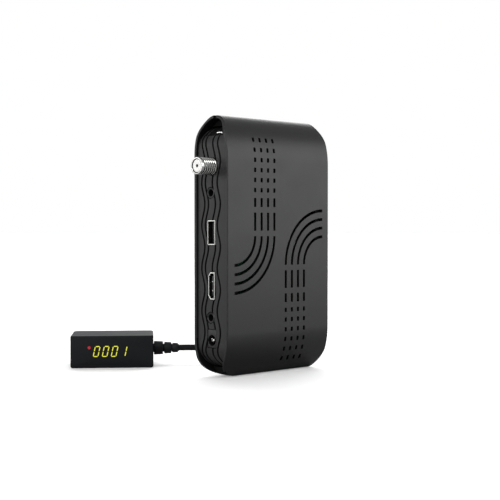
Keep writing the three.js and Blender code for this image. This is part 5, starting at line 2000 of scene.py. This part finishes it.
@dataclass(frozen=True)
class Fasteners(Assembly):
    """Cover screws with cross recesses, and the rubber feet on the back."""

    cross_reach: float = 1.3
    cross_width: float = 0.28
    cross_depth: float = 1.1
    head: float = 1.6
    shank: float = 1.2
    foot_edge: float = 0.4

    def screw(self, node: str) -> None:
        """A pan-head screw along Y whose head looks to the back.

        Args:
            node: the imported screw.
        """
        (left, tip, _), (right, top, _) = box_of(node)
        x, _, z = middle_of(node)
        r, neck = (right - left) / 2, top - 2
        dome = arc((0, 0), 1, 0, 90, 8)[:-1, ::-1] * [self.head, r] + [top - self.head, 0]
        shank = [[tip, 0], [tip, 0.9], [tip + 0.5, self.shank], [neck, self.shank], [neck, r]]
        profile = np.concatenate([shank, dome, [[top, 0]]])
        piece = Piece(node + "_cross", turned(profile, Axis.Y, (x, z), 40))
        reach, width = self.cross_reach, self.cross_width
        for wide, high in ((reach, width), (width, reach)):
            low, end = (x - wide, top - self.cross_depth, z - high), (x + wide, top + 0.5, z + high)
            piece.change(block(low, end, 0.06), Cut.AWAY)
        piece.finish(self.finishes.steel, "steel", node, smooth=30)

    def foot(self, node: str) -> None:
        """A round rubber foot with a soft edge and a shallow dish.

        Args:
            node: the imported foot.
        """
        (left, base, _), (right, top, _) = box_of(node)
        x, _, z = middle_of(node)
        r, e = (right - left) / 2, self.foot_edge
        edge = arc((0, 0), e, 0, 90, 5)[:, ::-1] + [top - e, r - e - 0.25]
        profile = np.concatenate([[[base, 0], [base, r]], edge,
                                  [[top - 0.08, r * 0.6], [top - 0.12, 0]]])
        Piece(node + "_pad", turned(profile, Axis.Y, (x, z), 40)).finish(
            self.finishes.rubber, "rubber", node, smooth=40)

    def build(self) -> None:
        """Makes all screws and feet."""
        for k in range(1, 5):
            self.screw(f"cover_screw_{k}")
            self.foot(f"foot_{k}")


@dataclass(frozen=True)
class DisplayBox(Assembly):
    """The wired display: shell, glossy window, lit digits, lamp and strain relief.

    Its own frame has x along its face, y away from the viewer, and its face's middle as origin.

    Attributes:
        digit_left: where the first digit starts, from the left.
        joint: half the gap between two segments.
        slant: how far a digit leans for its height.
        lamp_place: the lamp's place from the left and over the surface.
        relief_end: how far it reaches out of the box.
    """

    lead: Lead
    width: float = 48.2
    depth: float = 34.0
    height: float = 18.8
    wall: float = 1.6
    corner: float = 3.0
    edge: float = 0.9
    window: float = 2.0
    gap: float = 0.3
    inset: float = 0.2
    pane_corner: float = 1.2
    pane_edge: float = 0.25
    digit_left: float = 13.0
    digit_pitch: float = 5.2
    digit_width: float = 2.75
    digit_low: float = 6.8
    digit_height: float = 5.8
    stroke: float = 0.52
    joint: float = 0.17
    slant: float = 0.22
    lamp_place: tuple[float, float] = (11.0, 11.9)
    hole: float = 2.9
    relief_radii: tuple[float, ...] = (4.1, 3.5, 2.9)
    relief_lengths: tuple[float, ...] = (5.4, 4.2, 3.2)
    relief_slit: float = 0.8
    relief_neck: float = 2.6
    relief_edge: float = 0.35
    relief_end: float = 15.68

    def placed(self, solid: Solid) -> Solid:
        """Turns and moves a solid from the box's own frame to the receiver's."""
        return solid.turned_about_z(self.lead.display_turn).moved(*self.lead.display_place, 0)

    def shell_outline(self, inset: float) -> Array:
        """The shell seen from above: square to the window in front, round corners behind.

        Args:
            inset: how far it is drawn in.

        Returns:
            Points in order.
        """
        half, back = self.width / 2 - inset, self.depth - inset
        r, front = self.corner - inset, self.window + self.gap
        return np.concatenate([
            [[-half, front], [half, front]], arc((half - r, back - r), r, 0, 90, 8),
            arc((-half + r, back - r), r, 90, 180, 8)])

    def shell(self) -> None:
        """The box behind the window, hollow, with the hole for the strain relief."""
        body = eased(self.shell_outline, 0, self.height, Axis.Z, self.edge, self.edge, 5)
        w, half = self.wall, self.width / 2
        hollow = prism(rounded(-half + w, self.window - 1, half - w, self.depth - w, 1.0, 4), w,
                       self.height - w, Axis.Z)
        hole = turned(rod(half - w - 1, half + 1, self.hole), Axis.X,
                      (self.lead.relief_aside, self.lead.relief_height), 40)
        piece = Piece("display_case", self.placed(body))
        piece.change(self.placed(hollow), Cut.AWAY).change(self.placed(hole), Cut.AWAY)
        piece.finish(self.finishes.display, "display_plastic", "display_shell", smooth=30)

    def pane(self) -> None:
        """The window: a thick pane with round corners and a rounded front edge."""
        half = self.width / 2 - self.inset

        def outline(inset: float) -> Array:
            """The pane's outline in x and z."""
            low, high = inset + 0.02, self.height - inset - 0.02
            return rounded(-half + inset, low, half - inset, high, self.pane_corner - inset, 6)
        body = eased(outline, 0, self.window, Axis.Y, self.pane_edge, 0.0, 4)
        Piece("display_pane", self.placed(body)).finish(
            self.finishes.window, "smoked_window", "display_window")

    def bar(self, start: Sequence[float], end: Sequence[float]) -> Solid:
        """One segment: a bar with pointed ends between two points of the digit, slanted with it.

        Args:
            start: its start (x, z) from the digit's lower left corner.
            end: its end.

        Returns:
            A thin solid on the window's face.
        """
        a, b = np.array(start, float), np.array(end, float)
        along = (b - a) / np.linalg.norm(b - a)
        across = np.array([-along[1], along[0]]) * self.stroke / 2
        tip = along * self.stroke / 2
        a, b = a + along * self.joint, b - along * self.joint
        outline = np.array([a, a + tip + across, b - tip + across, b, b - tip - across,
                            a + tip - across])
        outline[:, 0] += outline[:, 1] * self.slant
        return prism(outline, -0.03, 0.25, Axis.Y)

    def digits(self) -> None:
        """Three noughts and a one in lit segments on the window."""
        w, h = self.digit_width, self.digit_height
        nought = [((0, 0), (w, 0)), ((0, h), (w, h)), ((0, 0), (0, h / 2)), ((0, h / 2), (0, h)),
                  ((w, 0), (w, h / 2)), ((w, h / 2), (w, h))]
        one = nought[4:]
        first, solids = -self.width / 2 + self.digit_left + self.stroke / 2, []
        for k, parts in enumerate((nought, nought, nought, one)):
            left = first + k * self.digit_pitch
            solids += [self.bar(a, b).moved(left, 0, self.digit_low) for a, b in parts]
        Piece("lit_digits", self.placed(together(solids))).finish(
            self.finishes.segment, "digit_grey", smooth=40)

    def lamp(self) -> None:
        """The red lamp: a domed lens set in the window."""
        left, z = self.lamp_place
        dome = np.array([[-0.05, 0], [-0.04, 0.6], [0.02, 1.05], [0.3, 1.2], [0.3, 0]])
        lens = turned(dome, Axis.Y, (left - self.width / 2, z), 32)
        Piece("lamp_lens", self.placed(lens)).finish(self.finishes.lamp, "lamp_red", smooth=50)

    def relief(self) -> None:
        """The strain relief: a flange in the wall, a neck, and ribs with soft edges."""
        half, neck, e = self.width / 2, self.relief_neck, self.relief_edge
        inside, at, end = half - self.wall - 0.3, half + 0.3, half + self.relief_end
        profile = [[inside - 1.2, 0], [inside - 1.2, 3.8], [inside, 3.8], [inside, neck]]
        for radius, length in zip(self.relief_radii, self.relief_lengths):
            far, thin = at + length, radius * 0.95
            profile += [[at, neck], [at, radius - e], [at + e * 0.3, radius - e * 0.3],
                        [at + e, radius], [far - e, thin], [far - e * 0.3, thin - e * 0.3],
                        [far, thin - e], [far, neck - 0.35]]
            at = far + self.relief_slit
        profile += [[at, 1.85], [end - 0.3, 1.8], [end, 1.6], [end, 0]]
        centre = (self.lead.relief_aside, self.lead.relief_height)
        body = turned(np.array(profile), Axis.X, centre, 48)
        Piece("strain_relief", self.placed(body)).finish(
            self.finishes.relief, "rubber", "display_strain_relief", smooth=40)

    def build(self) -> None:
        """Makes the display box."""
        self.shell()
        self.pane()
        self.digits()
        self.lamp()
        self.relief()


@dataclass(frozen=True)
class Interior(Assembly):
    """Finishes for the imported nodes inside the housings, which keep their shape."""

    def build(self) -> None:
        """Assigns a finish to each kept node."""
        wear = self.finishes
        kept = {
            wear.board: ("main_board", "display_board"), wear.tin: ("tuner_can",),
            wear.chip: ("processor", "memory_chip_1", "memory_chip_2", "flash_chip",
                        "power_inductor", "remote_sensor"),
            wear.aluminium: ("heat_sink", "capacitor_1", "capacitor_2", "capacitor_3"),
            wear.steel: ("crystal", "board_screw_1", "board_screw_2", "board_screw_3",
                         "board_screw_4"),
            wear.module: ("digit_module",), wear.lamp: ("status_lamp",)}
        for material, names in kept.items():
            for name in names:
                for slot in frame["nodes"][name].material_slots:
                    slot.material = material
                log.info("%s: finished", name)


def main() -> None:
    """Builds the studio, the cord and the object."""
    logging.basicConfig(level=logging.INFO, format="%(name)s %(message)s")
    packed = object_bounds()
    finishes = Finishes()
    studio = Studio()
    studio.camera()
    lead = Lead(finishes)
    sleeve = Sleeve(finishes)
    caps = EndCaps(finishes, sleeve)
    for part in (lead, sleeve, caps, LightBar(finishes, caps), AerialSocket(finishes),
                 PlugSockets(finishes), Fasteners(finishes), DisplayBox(finishes, lead),
                 Interior(finishes)):
        part.build()
        log.info("%s done", type(part).__name__)
    studio.floor(finishes.stage)
    studio.lights()
    boxes = {"packed": packed, "dressed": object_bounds()}
    sizes = {name: [list(corner) for corner in box] for name, box in boxes.items()}


if __name__ == "__main__":
    main()
